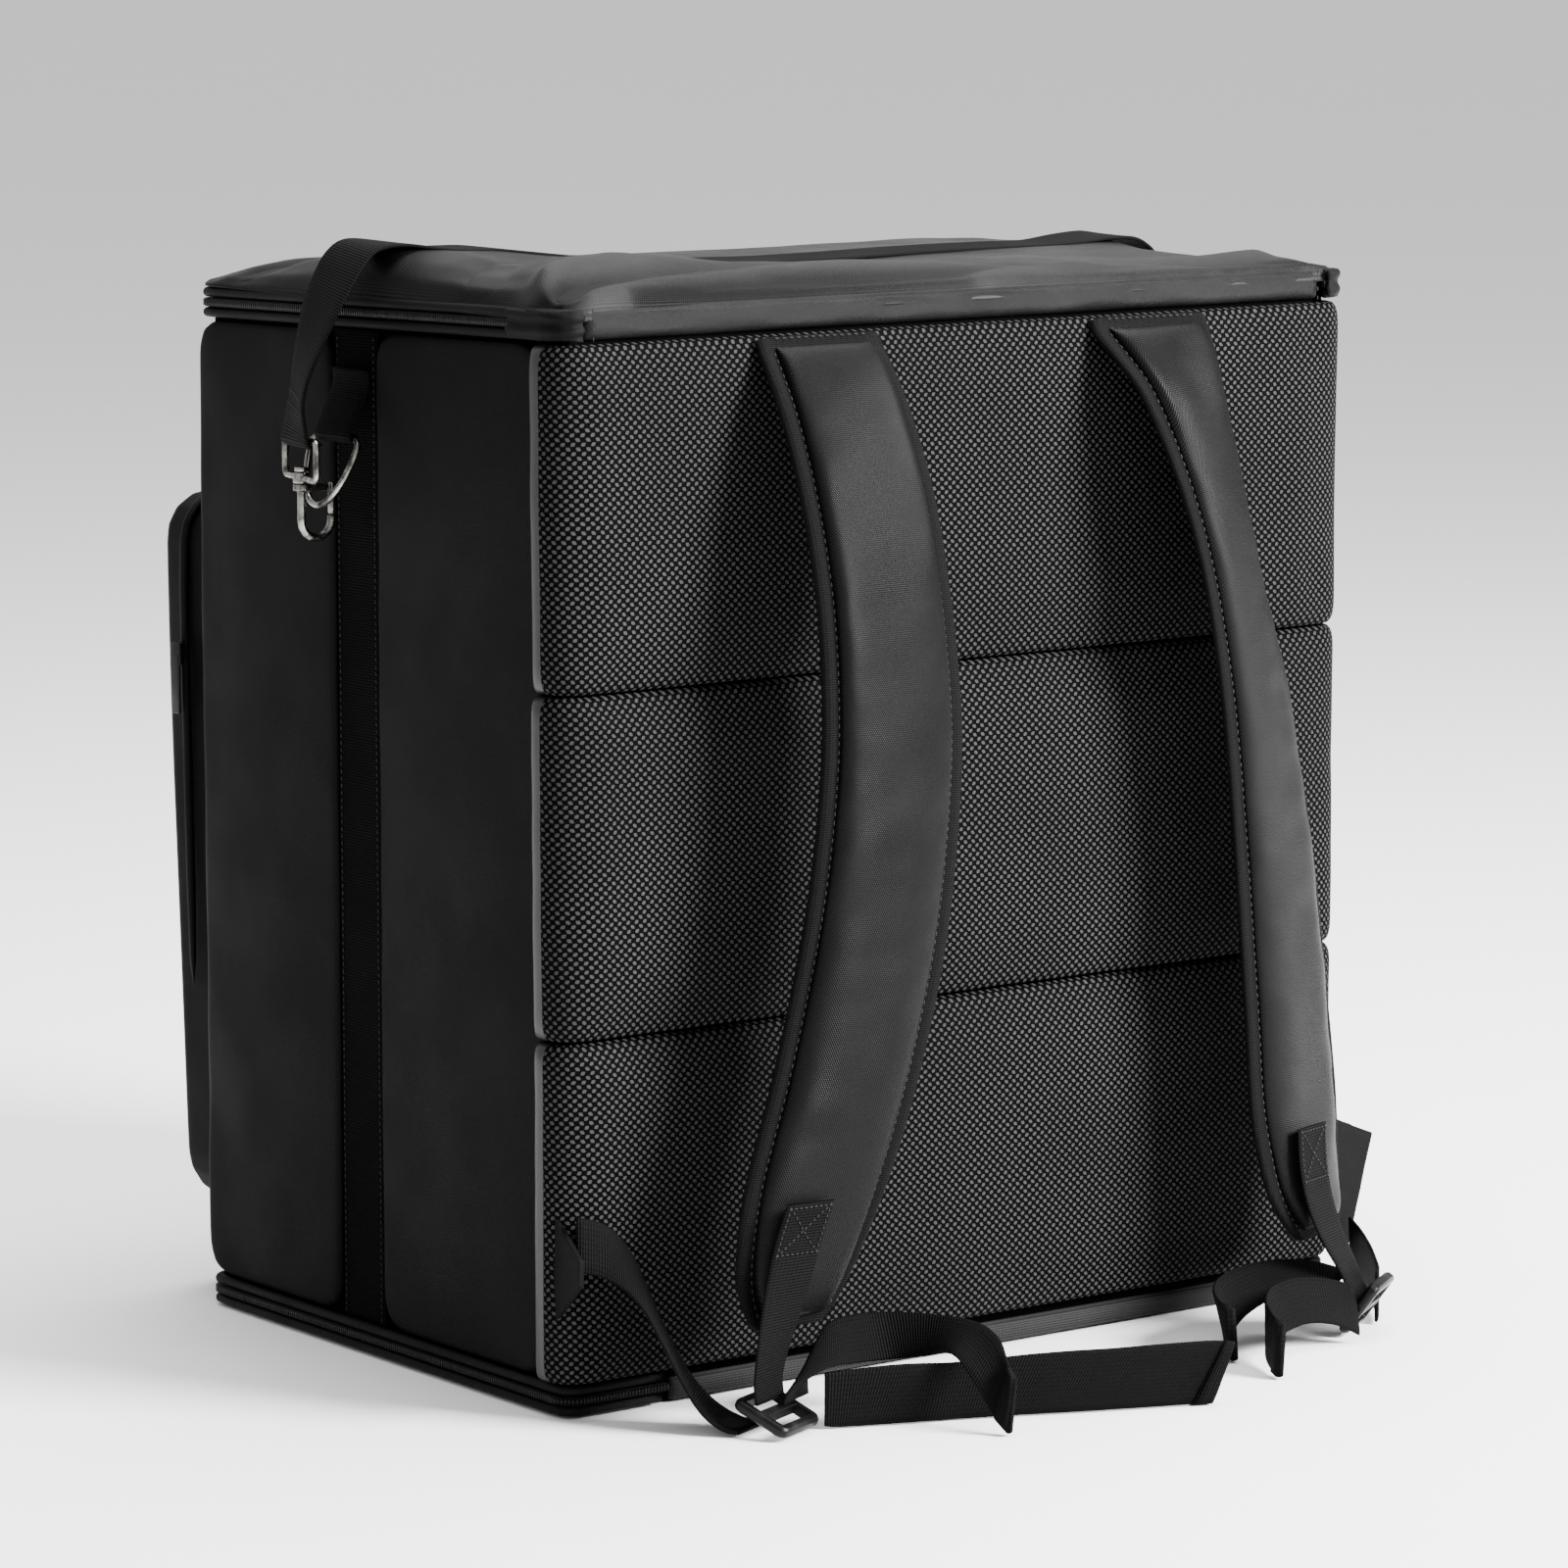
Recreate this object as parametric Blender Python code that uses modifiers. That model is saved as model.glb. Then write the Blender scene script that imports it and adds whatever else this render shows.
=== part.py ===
"""Computer carrying bag: a tall box-shaped backpack that stands on its flat base.

The origin is on the floor under the middle of the body, with +Z up. The padded back with its
shoulder straps faces -Y, the front pocket faces +Y, and the side with the swivel hook is at -X.
All lengths are in metres and all angles in degrees.
"""
import math
from collections import namedtuple

import bmesh
import bpy
from mathutils import Matrix, Vector

# Body
BODY_WIDTH = 0.466
BODY_DEPTH = 0.309
SEAM_HEIGHT = 0.500
WALL = 0.004
CORNER_RADIUS = 0.006
SIDE_PAD = 0.006
BACK_PAD = 0.012
PAD_EDGE = 0.004
PAD_WRAP = 0.008
PAD_ROUNDING = 0.016
TOUCH = 0.0003
CLOTH = 0.0022
FRONT_SAG = 0.0065

# Zip bands, pipings and the plain bands of the back
TAPE_HEIGHT = 0.0040
TAPE_THICKNESS = 0.0045
PIPING_RADIUS = 0.0026
HINGE_BAND_HEIGHT = 0.015
BACK_TRIM_HEIGHT = 0.011
BASE_LIFT = 0.0006
BASE_ZIP_REACH = 0.046
END_TAB_LENGTH = 0.034

# Lid
LID_RISE = 0.016

# Webbing
WIDE_WEBBING = 0.036
WIDE_WEBBING_THICKNESS = 0.0018
WEBBING = 0.025
WEBBING_THICKNESS = 0.0018
STRIP_PLACE = 0.0175
RING_HEIGHT = 0.440

# Shoulder straps
STRAP_WIDTH = 0.076
STRAP_BASE = 0.004
STRAP_CUSHION = 0.013
BINDING = 0.0085
STRAP_BOW = 0.056

# Harness that lies on the floor behind the bag
HARNESS_REACH = 0.150
TAIL_RISE = 0.047
BUCKLE_WIDTH = 0.034
BUCKLE_LENGTH = 0.030
BUCKLE_THICKNESS = 0.0055
BUCKLE_BAR = 0.0045
TAB_REACH = 0.034
TAB_HEIGHT = 0.090

# Front pocket
POCKET_WIDTH = 0.432
POCKET_HEIGHT = 0.360
POCKET_BASE = 0.042
POCKET_DEPTH_TOP = 0.062
POCKET_DEPTH_BASE = 0.048
POCKET_EDGE = 0.006
POCKET_ROUNDING = 0.026
POCKET_ZIP_RADIUS = 0.0026

# Metal fittings
RING_WIRE = 0.0018
RING_DROP = 0.033
RING_STAND_OFF = 0.0065
KEEPER_WIDTH = 0.030
KEEPER_RISE = 0.030
LOOP_HEIGHT = 0.018
LOOP_STAND_OFF = 0.027
LOOP_TURN = 13.0
LOOP_ROUNDING = 0.003
STRAP_RETURN = 0.012
HOOK_WIRE = 0.0021
HOOK_MOUTH = 0.0165
HOOK_DROP = 0.0235
HOOK_HANG = 0.0085
POST_RADIUS = 0.0017
POST_HEAD = 0.0022
POST_CLEARANCE = 0.0004
COLLAR_RADIUS = 0.0040
COLLAR_HEIGHT = 0.0050
GATE_WIDTH = 0.0038
GATE_THICKNESS = 0.0020
GATE_ROOM = 0.0014
SLIDER_LENGTH = 0.011
SLIDER_THICKNESS = 0.003
PULL_LENGTH = 0.030
PULL_WIDTH = 0.007
PULL_THICKNESS = 0.0016

SHELL_X = BODY_WIDTH / 2 - SIDE_PAD
SHELL_Y = BODY_DEPTH / 2 - SIDE_PAD
BACK_FACE = -SHELL_Y
FRONT_FACE = SHELL_Y
BAND_OFFSET = TOUCH + TAPE_THICKNESS / 2
PIPING_OFFSET = TOUCH + TAPE_THICKNESS - PIPING_RADIUS / 2
BASE_BAND_TOP = BASE_LIFT + 4 * PIPING_RADIUS + TAPE_HEIGHT + 2 * TOUCH
TOP_BAND_FOOT = SEAM_HEIGHT - TAPE_HEIGHT / 2 - TOUCH - 2 * PIPING_RADIUS
PAD_LOW = BASE_BAND_TOP + 2 * TOUCH
PAD_HIGH = TOP_BAND_FOOT - 2 * TOUCH

Finish = namedtuple("Finish", "colour roughness metallic")
FINISHES = {
    "padded_cloth": Finish((0.014, 0.014, 0.015), 0.75, 0.0),
    "spacer_mesh": Finish((0.020, 0.020, 0.021), 0.85, 0.0),
    "webbing": Finish((0.018, 0.018, 0.019), 0.70, 0.0),
    "binding": Finish((0.012, 0.012, 0.013), 0.80, 0.0),
    "plastic": Finish((0.030, 0.030, 0.032), 0.30, 0.0),
    "metal": Finish((0.34, 0.33, 0.31), 0.25, 1.0),
}

parts = bpy.data.collections.new("computer_carrying_bag")
cutters = bpy.data.collections.new("cutters")
materials = {}


def clear_scene():
    """Remove every object, then set up the two collections and the materials."""
    for item in list(bpy.data.objects):
        bpy.data.objects.remove(item, do_unlink=True)
    for group in (parts, cutters):
        bpy.context.scene.collection.children.link(group)
    for name, finish in FINISHES.items():
        material = bpy.data.materials.new(name)
        material.use_nodes = True
        shader = material.node_tree.nodes["Principled BSDF"]
        shader.inputs["Base Color"].default_value = (*finish.colour, 1.0)
        shader.inputs["Roughness"].default_value = finish.roughness
        shader.inputs["Metallic"].default_value = finish.metallic
        materials[name] = material


def add_object(name, data, finish, group=None):
    """Link an object for this data, with its own material."""
    item = bpy.data.objects.new(name, data)
    material = materials[finish].copy()
    material.name = name
    data.materials.clear()
    data.materials.append(material)
    (group or parts).objects.link(item)
    return item


def from_bmesh(name, shape, finish, smooth_angle=40.0):
    """Turn a bmesh into an object, shaded smooth up to an angle."""
    bmesh.ops.recalc_face_normals(shape, faces=shape.faces)
    mesh = bpy.data.meshes.new(name)
    shape.to_mesh(mesh)
    shape.free()
    mesh.shade_smooth()
    mesh.set_sharp_from_angle(angle=math.radians(smooth_angle))
    return add_object(name, mesh, finish)


def add_solidify(item, thickness, offset=0.0):
    """Give an open surface its thickness."""
    wall = item.modifiers.new("wall", "SOLIDIFY")
    wall.thickness = thickness
    wall.offset = offset
    return wall


def sag_at(y, z):
    """How far the soft body has settled at a place: nothing at the back, most at the front's top."""
    return FRONT_SAG * (y - BACK_FACE) / (FRONT_FACE - BACK_FACE) * z / SEAM_HEIGHT


def settle_body():
    """Let the soft pieces of the body sink towards the front's top, all by one lattice."""
    reach = BODY_DEPTH / 2 + POCKET_DEPTH_TOP * 2
    size = Vector((BODY_WIDTH * 1.5, reach - BACK_FACE, SEAM_HEIGHT * 1.2))
    data = bpy.data.lattices.new("body_sag")
    cage = bpy.data.objects.new("body_sag", data)
    cutters.objects.link(cage)
    cage.hide_render = True
    cage.scale = size
    cage.location = (0, (reach + BACK_FACE) / 2, size.z / 2)
    for way in ("u", "v", "w"):
        setattr(data, f"interpolation_type_{way}", "KEY_LINEAR")
    for point in data.points:
        if point.co.y > 0 and point.co.z > 0:
            point.co_deform.z -= sag_at(reach, size.z) / size.z
    for item in parts.objects:
        if item.type != "EMPTY":
            bend = item.modifiers.new("sag", "LATTICE")
            bend.object = cage


def as_mesh(item):
    """Swap an object for a plain welded mesh of its evaluated shape."""
    bpy.context.view_layer.update()
    shape = item.evaluated_get(bpy.context.evaluated_depsgraph_get())
    mesh = bpy.data.meshes.new_from_object(shape)
    welded = bmesh.new()
    welded.from_mesh(mesh)
    bmesh.ops.remove_doubles(welded, verts=welded.verts, dist=1e-6)
    bmesh.ops.recalc_face_normals(welded, faces=welded.faces)
    welded.to_mesh(mesh)
    welded.free()
    plain = bpy.data.objects.new(item.name, mesh)
    plain.matrix_world = item.matrix_world
    name = item.name
    group = item.users_collection[0]
    bpy.data.objects.remove(item, do_unlink=True)
    plain.name = name
    group.objects.link(plain)
    return plain


def combine(target, tool, operation):
    """Join or cut a target with a tool, then keep the result as a plain mesh."""
    step = target.modifiers.new(operation.lower(), "BOOLEAN")
    step.object = tool
    step.operation = operation
    step.solver = "EXACT"
    result = as_mesh(target)
    bpy.data.objects.remove(tool, do_unlink=True)
    return result


def smooth_rows(rows, steps):
    """Read a smooth curve through the rows of a table: a Catmull-Rom spline in every column."""
    kind = type(rows[0])
    result = []
    for index in range(len(rows) - 1):
        before = rows[max(index - 1, 0)]
        start = rows[index]
        end = rows[index + 1]
        after = rows[min(index + 2, len(rows) - 1)]
        for step in range(steps):
            t = step / steps
            columns = []
            for a, b, c, d in zip(before, start, end, after):
                slope_in = (c - a) / 2
                slope_out = (d - b) / 2
                columns.append(b * (2 * t**3 - 3 * t**2 + 1) + slope_in * (t**3 - 2 * t**2 + t)
                               + c * (3 * t**2 - 2 * t**3) + slope_out * (t**3 - t**2))
            result.append(kind(*columns))
    result.append(rows[-1])
    return result


Section = namedtuple("Section", "x y z turn lift width")


def side_of(section):
    """The unit vector across a strap, from its turn about Z and its lift off the horizontal."""
    turn = math.radians(section.turn)
    lift = math.radians(section.lift)
    return Vector((math.cos(turn) * math.cos(lift), math.sin(turn) * math.cos(lift), math.sin(lift)))


def ribbon(name, sections, thickness, finish, offset=0.0):
    """A flat strap through a list of sections."""
    shape = bmesh.new()
    rows = []
    for section in sections:
        centre = Vector((section.x, section.y, section.z))
        half = side_of(section) * section.width / 2
        rows.append((shape.verts.new(centre - half), shape.verts.new(centre + half)))
    for low, high in zip(rows, rows[1:]):
        shape.faces.new((low[0], low[1], high[1], high[0]))
    item = from_bmesh(name, shape, finish)
    add_solidify(item, thickness, offset)
    return item


def wire(name, points, radius, finish, cyclic=False, sides=2):
    """A round wire or piping through points."""
    curve = bpy.data.curves.new(name, "CURVE")
    curve.dimensions = "3D"
    curve.bevel_depth = radius
    curve.bevel_resolution = sides
    curve.use_fill_caps = not cyclic
    spline = curve.splines.new("POLY")
    spline.points.add(len(points) - 1)
    for slot, point in zip(spline.points, points):
        slot.co = (*point, 1.0)
    spline.use_cyclic_u = cyclic
    return add_object(name, curve, finish)


def cylinder(name, radius, low, high, place, finish, sides=16):
    """An upright cylinder from low to high, about a place in plan."""
    shape = bmesh.new()
    bmesh.ops.create_cone(shape, cap_ends=True, segments=sides, radius1=radius, radius2=radius,
                          depth=high - low)
    bmesh.ops.translate(shape, vec=(place[0], place[1], (low + high) / 2), verts=shape.verts)
    return from_bmesh(name, shape, finish)


def rounded_corner(u, v, half_u, half_v, radius):
    """Pull a point of a rectangle's corner in to the corner's arc."""
    over_u = abs(u) - (half_u - radius)
    over_v = abs(v) - (half_v - radius)
    if over_u <= 0 or over_v <= 0:
        return u, v
    scale = max(over_u, over_v) / math.hypot(over_u, over_v)
    return (math.copysign(half_u - radius + over_u * scale, u),
            math.copysign(half_v - radius + over_v * scale, v))


PAD_SHARES = (-1.0, -0.965, -0.88, -0.66, 0.0, 0.66, 0.88, 0.965, 1.0)


def pad_body(name, columns, rows, spot, finish):
    """A closed pad between two surfaces: spot gives a place for shares and for outer or inner."""
    shape = bmesh.new()
    bmesh.ops.create_grid(shape, x_segments=len(columns) - 1, y_segments=len(rows) - 1, size=1.0)
    extruded = bmesh.ops.extrude_face_region(shape, geom=list(shape.faces), use_keep_orig=True)
    outer = {item for item in extruded["geom"] if isinstance(item, bmesh.types.BMVert)}
    inner = [vert for vert in shape.verts if vert not in outer]
    for vert in shape.verts:
        column = columns[round((vert.co.x + 1) / 2 * (len(columns) - 1))]
        row = rows[round((vert.co.y + 1) / 2 * (len(rows) - 1))]
        vert.co = spot(column, row, vert in outer)
    inner_edges = [edge for edge in shape.edges if not outer.intersection(edge.verts)]
    bmesh.ops.dissolve_limit(shape, angle_limit=math.radians(1), verts=inner, edges=inner_edges,
                             use_dissolve_boundaries=False)
    return from_bmesh(name, shape, finish)


def pad_height(share_u, share_v, thickness, edge):
    """How thick a pad is at shares of its half sizes: thin at its seam and full in the middle."""
    crown = (1 - abs(share_u) ** 12) * (1 - abs(share_v) ** 12)
    swell = 0.80 + 0.20 * (1 - share_u**2) * (1 - share_v**2)
    return edge + (thickness - edge) * crown**0.5 * swell


def cushion(name, size, thickness, edge, place, finish, shares=PAD_SHARES):
    """A crowned pad with rounded corners and a flat back; place puts its back on a wall."""
    half_u, half_v = size[0] / 2, size[1] / 2

    def spot(share_u, share_v, is_outer):
        u, v = rounded_corner(share_u * half_u, share_v * half_v, half_u, half_v, PAD_ROUNDING)
        return (u, v, pad_height(share_u, share_v, thickness, edge) if is_outer else 0.0)

    item = pad_body(name, shares, shares, spot, finish)
    item.matrix_world = place


FLAT_SHARES = (0.0, 0.5, 0.85, 0.97, 1.0)
ARC_STEPS = 6
WRAP_GAP = 2 * TOUCH
ROW_SHARES = (-1.0, -0.93, -0.66, 0.0, 0.66, 0.93, 1.0)


def back_pad(name, low, high):
    """A mesh pad on the back that wraps round both corners onto the sides."""
    radius = CORNER_RADIUS + WRAP_GAP
    flat = SHELL_X - CORNER_RADIUS
    arc = radius * math.pi / 2
    half = flat + arc + PAD_WRAP
    reaches = [flat * share for share in FLAT_SHARES]
    reaches += [flat + arc * (step + 1) / ARC_STEPS for step in range(ARC_STEPS)] + [half]
    columns = [-reach for reach in reaches[:0:-1]] + reaches

    def spot(place, share_v, is_outer):
        reach = abs(place)
        sign = -1 if place < 0 else 1
        turn = min(max((reach - flat) / radius, 0.0), math.pi / 2)
        wrap = max(reach - flat - arc, 0.0)
        fullness = min(reach / (flat + arc / 2), 1.0)
        height = pad_height(fullness, share_v, BACK_PAD - TOUCH, PAD_EDGE) if is_outer else 0.0
        x = min(reach, flat) + (radius + height) * math.sin(turn)
        y = -SHELL_Y + CORNER_RADIUS - (radius + height) * math.cos(turn) + wrap
        return (sign * x, y, (low + high) / 2 + share_v * (high - low) / 2)

    pad_body(name, columns, ROW_SHARES, spot, "spacer_mesh")


def face_place(outward, centre):
    """A matrix that lays a pad's back on a wall: local X runs across, Y runs up, Z points outward."""
    outward = Vector(outward)
    up = Vector((0, 0, 1))
    across = up.cross(outward)
    frame = Matrix((across, up, outward)).transposed().to_4x4()
    frame.translation = Vector(centre)
    return frame


def band_path(offset, back_reach, z, arc_steps=4):
    """The plan line of a band on the shell: back left, left side, front, right side, back right.

    back_reach is how far each end reaches along the back past its corner's arc.
    """
    half_x = SHELL_X + offset
    half_y = SHELL_Y + offset
    radius = CORNER_RADIUS + offset
    points = [(-half_x + radius + back_reach, -half_y, z)] if back_reach > 0 else []
    for x_sign, y_sign, start in ((-1, -1, 270), (-1, 1, 180), (1, 1, 90), (1, -1, 0)):
        centre = (x_sign * (half_x - radius), y_sign * (half_y - radius))
        for step in range(arc_steps + 1):
            angle = math.radians(start - 90 * step / arc_steps)
            points.append((centre[0] + radius * math.cos(angle), centre[1] + radius * math.sin(angle), z))
    if back_reach > 0:
        points.append((half_x - radius - back_reach, -half_y, z))
    return points


def band(name, path, low, high, thickness, finish):
    """An upright flat band along a plan line, from a flat curve with an extrude."""
    curve = bpy.data.curves.new(name, "CURVE")
    curve.dimensions = "2D"
    curve.fill_mode = "NONE"
    curve.extrude = (high - low) / 2
    spline = curve.splines.new("POLY")
    spline.points.add(len(path) - 1)
    for slot, point in zip(spline.points, path):
        slot.co = (*point, 1.0)
    item = add_object(name, curve, finish)
    item.location.z = (low + high) / 2
    add_solidify(item, thickness)
    return item


def make_shell():
    """The walls and floor of the main compartment, open at the top."""
    shape = bmesh.new()
    bmesh.ops.create_cube(shape, size=1.0)
    height = SEAM_HEIGHT + TAPE_HEIGHT / 2
    bmesh.ops.scale(shape, vec=(2 * SHELL_X, 2 * SHELL_Y, height), verts=shape.verts)
    bmesh.ops.translate(shape, vec=(0, 0, height / 2), verts=shape.verts)
    top = [face for face in shape.faces if face.normal.z > 0.5]
    bmesh.ops.delete(shape, geom=top, context="FACES")
    upright = [edge for edge in shape.edges
               if abs(edge.verts[0].co.z - edge.verts[1].co.z) > height / 2]
    bmesh.ops.bevel(shape, geom=upright, offset=CORNER_RADIUS, segments=4, profile=0.5,
                    affect="EDGES")
    item = from_bmesh("body_shell", shape, "padded_cloth", 30.0)
    add_solidify(item, WALL, -1.0)


def make_pads():
    """Side pads each side of the webbing strips, three mesh pads on the back, one on the front."""
    tall = PAD_HIGH - PAD_LOW
    middle = (PAD_HIGH + PAD_LOW) / 2
    front_reach = BODY_DEPTH / 2 - TOUCH
    back_reach = SHELL_Y - CORNER_RADIUS - PAD_WRAP - TOUCH
    strip_edge = WIDE_WEBBING / 2 + TOUCH
    fields = (("front", STRIP_PLACE + strip_edge, front_reach),
              ("back", -back_reach, STRIP_PLACE - strip_edge))
    for side, sign in (("left", -1), ("right", 1)):
        for field, low, high in fields:
            centre = (sign * (SHELL_X + TOUCH), (low + high) / 2, middle)
            cushion(f"side_pad_{side}_{field}", (high - low, tall), SIDE_PAD - TOUCH, PAD_EDGE,
                    face_place((sign, 0, 0), centre), "padded_cloth")
    for index, row in enumerate(("bottom", "middle", "top")):
        back_pad(f"back_pad_{row}", PAD_LOW + tall * index / 3, PAD_LOW + tall * (index + 1) / 3 - 2 * TOUCH)
    cushion("front_pad", (2 * (SHELL_X - TOUCH), tall), PAD_EDGE, PAD_EDGE / 2,
            face_place((0, 1, 0), (0, FRONT_FACE + TOUCH, middle)), "padded_cloth",
            shares=(-1.0, -0.9, 0.0, 0.9, 1.0))


def make_bands():
    """The zip round the lid, the zip round the base, and the plain bands across the back."""
    top_low = SEAM_HEIGHT - TAPE_HEIGHT / 2
    top_high = SEAM_HEIGHT + TAPE_HEIGHT / 2
    band("top_zip_tape", band_path(BAND_OFFSET, 0.0, 0.0), top_low, top_high, TAPE_THICKNESS, "binding")
    rim = TOUCH + PIPING_RADIUS
    wire("body_edge_piping", band_path(PIPING_OFFSET, 0.0, top_low - rim), PIPING_RADIUS, "binding")
    wire("lid_edge_piping", band_path(PIPING_OFFSET, 0.0, top_high + rim), PIPING_RADIUS, "binding")
    low = BASE_LIFT + 2 * PIPING_RADIUS + TOUCH
    band("base_zip_tape", band_path(BAND_OFFSET, BASE_ZIP_REACH, 0.0), low, low + TAPE_HEIGHT,
         TAPE_THICKNESS, "binding")
    wire("base_lower_piping", band_path(PIPING_OFFSET, BASE_ZIP_REACH, low - rim), PIPING_RADIUS, "binding")
    wire("base_upper_piping", band_path(PIPING_OFFSET, BASE_ZIP_REACH, low + TAPE_HEIGHT + rim),
         PIPING_RADIUS, "binding")


def plain_band(name, half_length, low, high, thickness, finish):
    """A straight band across the back of the shell, with rounded long edges."""
    shape = bmesh.new()
    bmesh.ops.create_cube(shape, size=1.0)
    bmesh.ops.scale(shape, vec=(2 * half_length, thickness, high - low), verts=shape.verts)
    bmesh.ops.translate(shape, vec=(0, BACK_FACE - TOUCH - thickness / 2, (low + high) / 2),
                        verts=shape.verts)
    outer = [edge for edge in shape.edges
             if all(vert.co.y < BACK_FACE - thickness / 2 for vert in edge.verts)]
    bmesh.ops.bevel(shape, geom=outer, offset=thickness / 3, segments=2, profile=0.5, affect="EDGES")
    return from_bmesh(name, shape, finish)


def make_back_bands():
    """The hinge band under the lid and the trim along the foot of the back."""
    reach = SHELL_X - CORNER_RADIUS - PIPING_RADIUS
    low = TOP_BAND_FOOT
    plain_band("hinge_band", reach, low, low + HINGE_BAND_HEIGHT, SIDE_PAD, "padded_cloth")
    plain_band("back_trim", reach - BASE_ZIP_REACH, BASE_LIFT, BASE_LIFT + BACK_TRIM_HEIGHT,
               BACK_PAD / 2, "webbing")


LidSpot = namedtuple("LidSpot", "along across wide deep height")
# Places and spreads are shares of the lid's half sizes, heights are shares of LID_RISE.
LID_SPOTS = (
    LidSpot(-0.86, 0.00, 0.34, 0.95, 0.75),
    LidSpot(-0.40, -0.60, 0.42, 0.30, 0.34),
    LidSpot(0.05, -0.20, 0.30, 0.34, -0.22),
    LidSpot(0.74, -0.62, 0.36, 0.30, -0.52),
    LidSpot(0.30, 0.60, 0.40, 0.30, -0.10),
)


LID_HALF_X = SHELL_X + PIPING_OFFSET + PIPING_RADIUS * 0.6
LID_HALF_Y = SHELL_Y + PIPING_OFFSET + PIPING_RADIUS * 0.6
LID_SEAT = SEAM_HEIGHT + TAPE_HEIGHT / 2 + 2 * PIPING_RADIUS + 2 * TOUCH + CLOTH


def lid_height(along, across):
    """The lid's rise over its seam as a share of LID_RISE, at shares of its half sizes."""
    dome = math.sqrt(max((1 - abs(along) ** 12) * (1 - abs(across) ** 9), 0.0))
    height = 0.28
    for spot in LID_SPOTS:
        reach = math.hypot((along - spot.along) / spot.wide, (across - spot.across) / spot.deep)
        height += spot.height * math.exp(-reach**2)
    return height * dome


def make_lid():
    """The soft lid: one cloth, domed and sagging, seated on its piping."""
    shape = bmesh.new()
    bmesh.ops.create_grid(shape, x_segments=16, y_segments=12, size=1.0)
    for vert in shape.verts:
        along = math.sin(vert.co.x * math.pi / 2)
        across = math.sin(vert.co.y * math.pi / 2)
        x, y = rounded_corner(along * LID_HALF_X, across * LID_HALF_Y, LID_HALF_X, LID_HALF_Y,
                              CORNER_RADIUS * 2)
        vert.co = (x, y, LID_SEAT + LID_RISE * lid_height(along, across))
    item = from_bmesh("lid", shape, "padded_cloth", 60.0)
    add_solidify(item, CLOTH, -1.0)


StrapRow = namedtuple("StrapRow", "height place bow turn width")
# Height is a share of SEAM_HEIGHT, place of half the body's width, bow of STRAP_BOW and width
# of STRAP_WIDTH. The right strap is twisted outwards.
STRAP_ROWS = {
    "left": (
        StrapRow(0.981, -0.402, -0.062, 0, 0.92),
        StrapRow(0.968, -0.402, -0.008, 0, 0.94),
        StrapRow(0.92, -0.409, 0.33, 0, 0.97),
        StrapRow(0.84, -0.409, 0.66, 0, 1.0),
        StrapRow(0.74, -0.406, 0.88, -1, 1.0),
        StrapRow(0.62, -0.403, 0.97, -5, 1.0),
        StrapRow(0.50, -0.430, 1.00, -8, 1.0),
        StrapRow(0.40, -0.471, 1.00, -11, 1.0),
        StrapRow(0.30, -0.531, 1.00, -11, 1.0),
        StrapRow(0.218, -0.587, 0.97, -8, 1.0),
        StrapRow(0.14, -0.625, 0.90, 0, 0.90),
        StrapRow(0.098, -0.636, 0.87, 4, 0.66),
        StrapRow(0.088, -0.638, 0.86, 4, 0.50),
    ),
    "right": (
        StrapRow(0.981, 0.446, -0.062, 0, 0.92),
        StrapRow(0.968, 0.442, -0.008, 0, 0.94),
        StrapRow(0.92, 0.464, 0.26, 17, 0.97),
        StrapRow(0.84, 0.506, 0.41, 28, 1.0),
        StrapRow(0.74, 0.555, 0.50, 32, 1.0),
        StrapRow(0.62, 0.618, 0.53, 27, 1.0),
        StrapRow(0.50, 0.659, 0.56, 22, 1.0),
        StrapRow(0.40, 0.680, 0.60, 19.5, 1.0),
        StrapRow(0.30, 0.695, 0.65, 18, 1.0),
        StrapRow(0.218, 0.704, 0.70, 17, 1.0),
        StrapRow(0.14, 0.712, 0.80, 20, 0.90),
        StrapRow(0.098, 0.735, 0.85, 22, 0.66),
        StrapRow(0.088, 0.740, 0.86, 22, 0.50),
    ),
}
STRAP_ROOT = -(SHELL_Y + BACK_PAD + TOUCH + STRAP_BASE / 2)


def strap_sections(side, steps):
    """The shoulder strap's sections in metres."""
    return [Section(row.place * BODY_WIDTH / 2, STRAP_ROOT - row.bow * STRAP_BOW,
                    row.height * SEAM_HEIGHT, row.turn, 0.0, row.width * STRAP_WIDTH)
            for row in smooth_rows(STRAP_ROWS[side], steps)]


def outward_at(sections, index):
    """The unit vector that points away from the bag, square to the strap there."""
    before = sections[max(index - 1, 0)]
    after = sections[min(index + 1, len(sections) - 1)]
    run = Vector((after.x - before.x, after.y - before.y, after.z - before.z)).normalized()
    out = run.cross(side_of(sections[index])).normalized()
    return out if out.y < 0 else -out


CushionPoint = namedtuple("CushionPoint", "across height")
CUSHION_PROFILE = (
    CushionPoint(-1.0, 0.0), CushionPoint(-1.0, 0.40), CushionPoint(-0.88, 0.86),
    CushionPoint(-0.5, 1.0), CushionPoint(0.0, 1.0), CushionPoint(0.5, 1.0),
    CushionPoint(0.88, 0.86), CushionPoint(1.0, 0.40), CushionPoint(1.0, 0.0),
)


def loft(name, rings, finish, smooth_angle=40.0):
    """A closed body through rings of as many points each, with flat ends."""
    shape = bmesh.new()
    lines = [[shape.verts.new(point) for point in ring] for ring in rings]
    count = len(lines[0])
    for low, high in zip(lines, lines[1:]):
        for index in range(count):
            after = (index + 1) % count
            shape.faces.new((low[index], low[after], high[after], high[index]))
    shape.faces.new(lines[0])
    shape.faces.new(lines[-1])
    return from_bmesh(name, shape, finish, smooth_angle)


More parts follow.
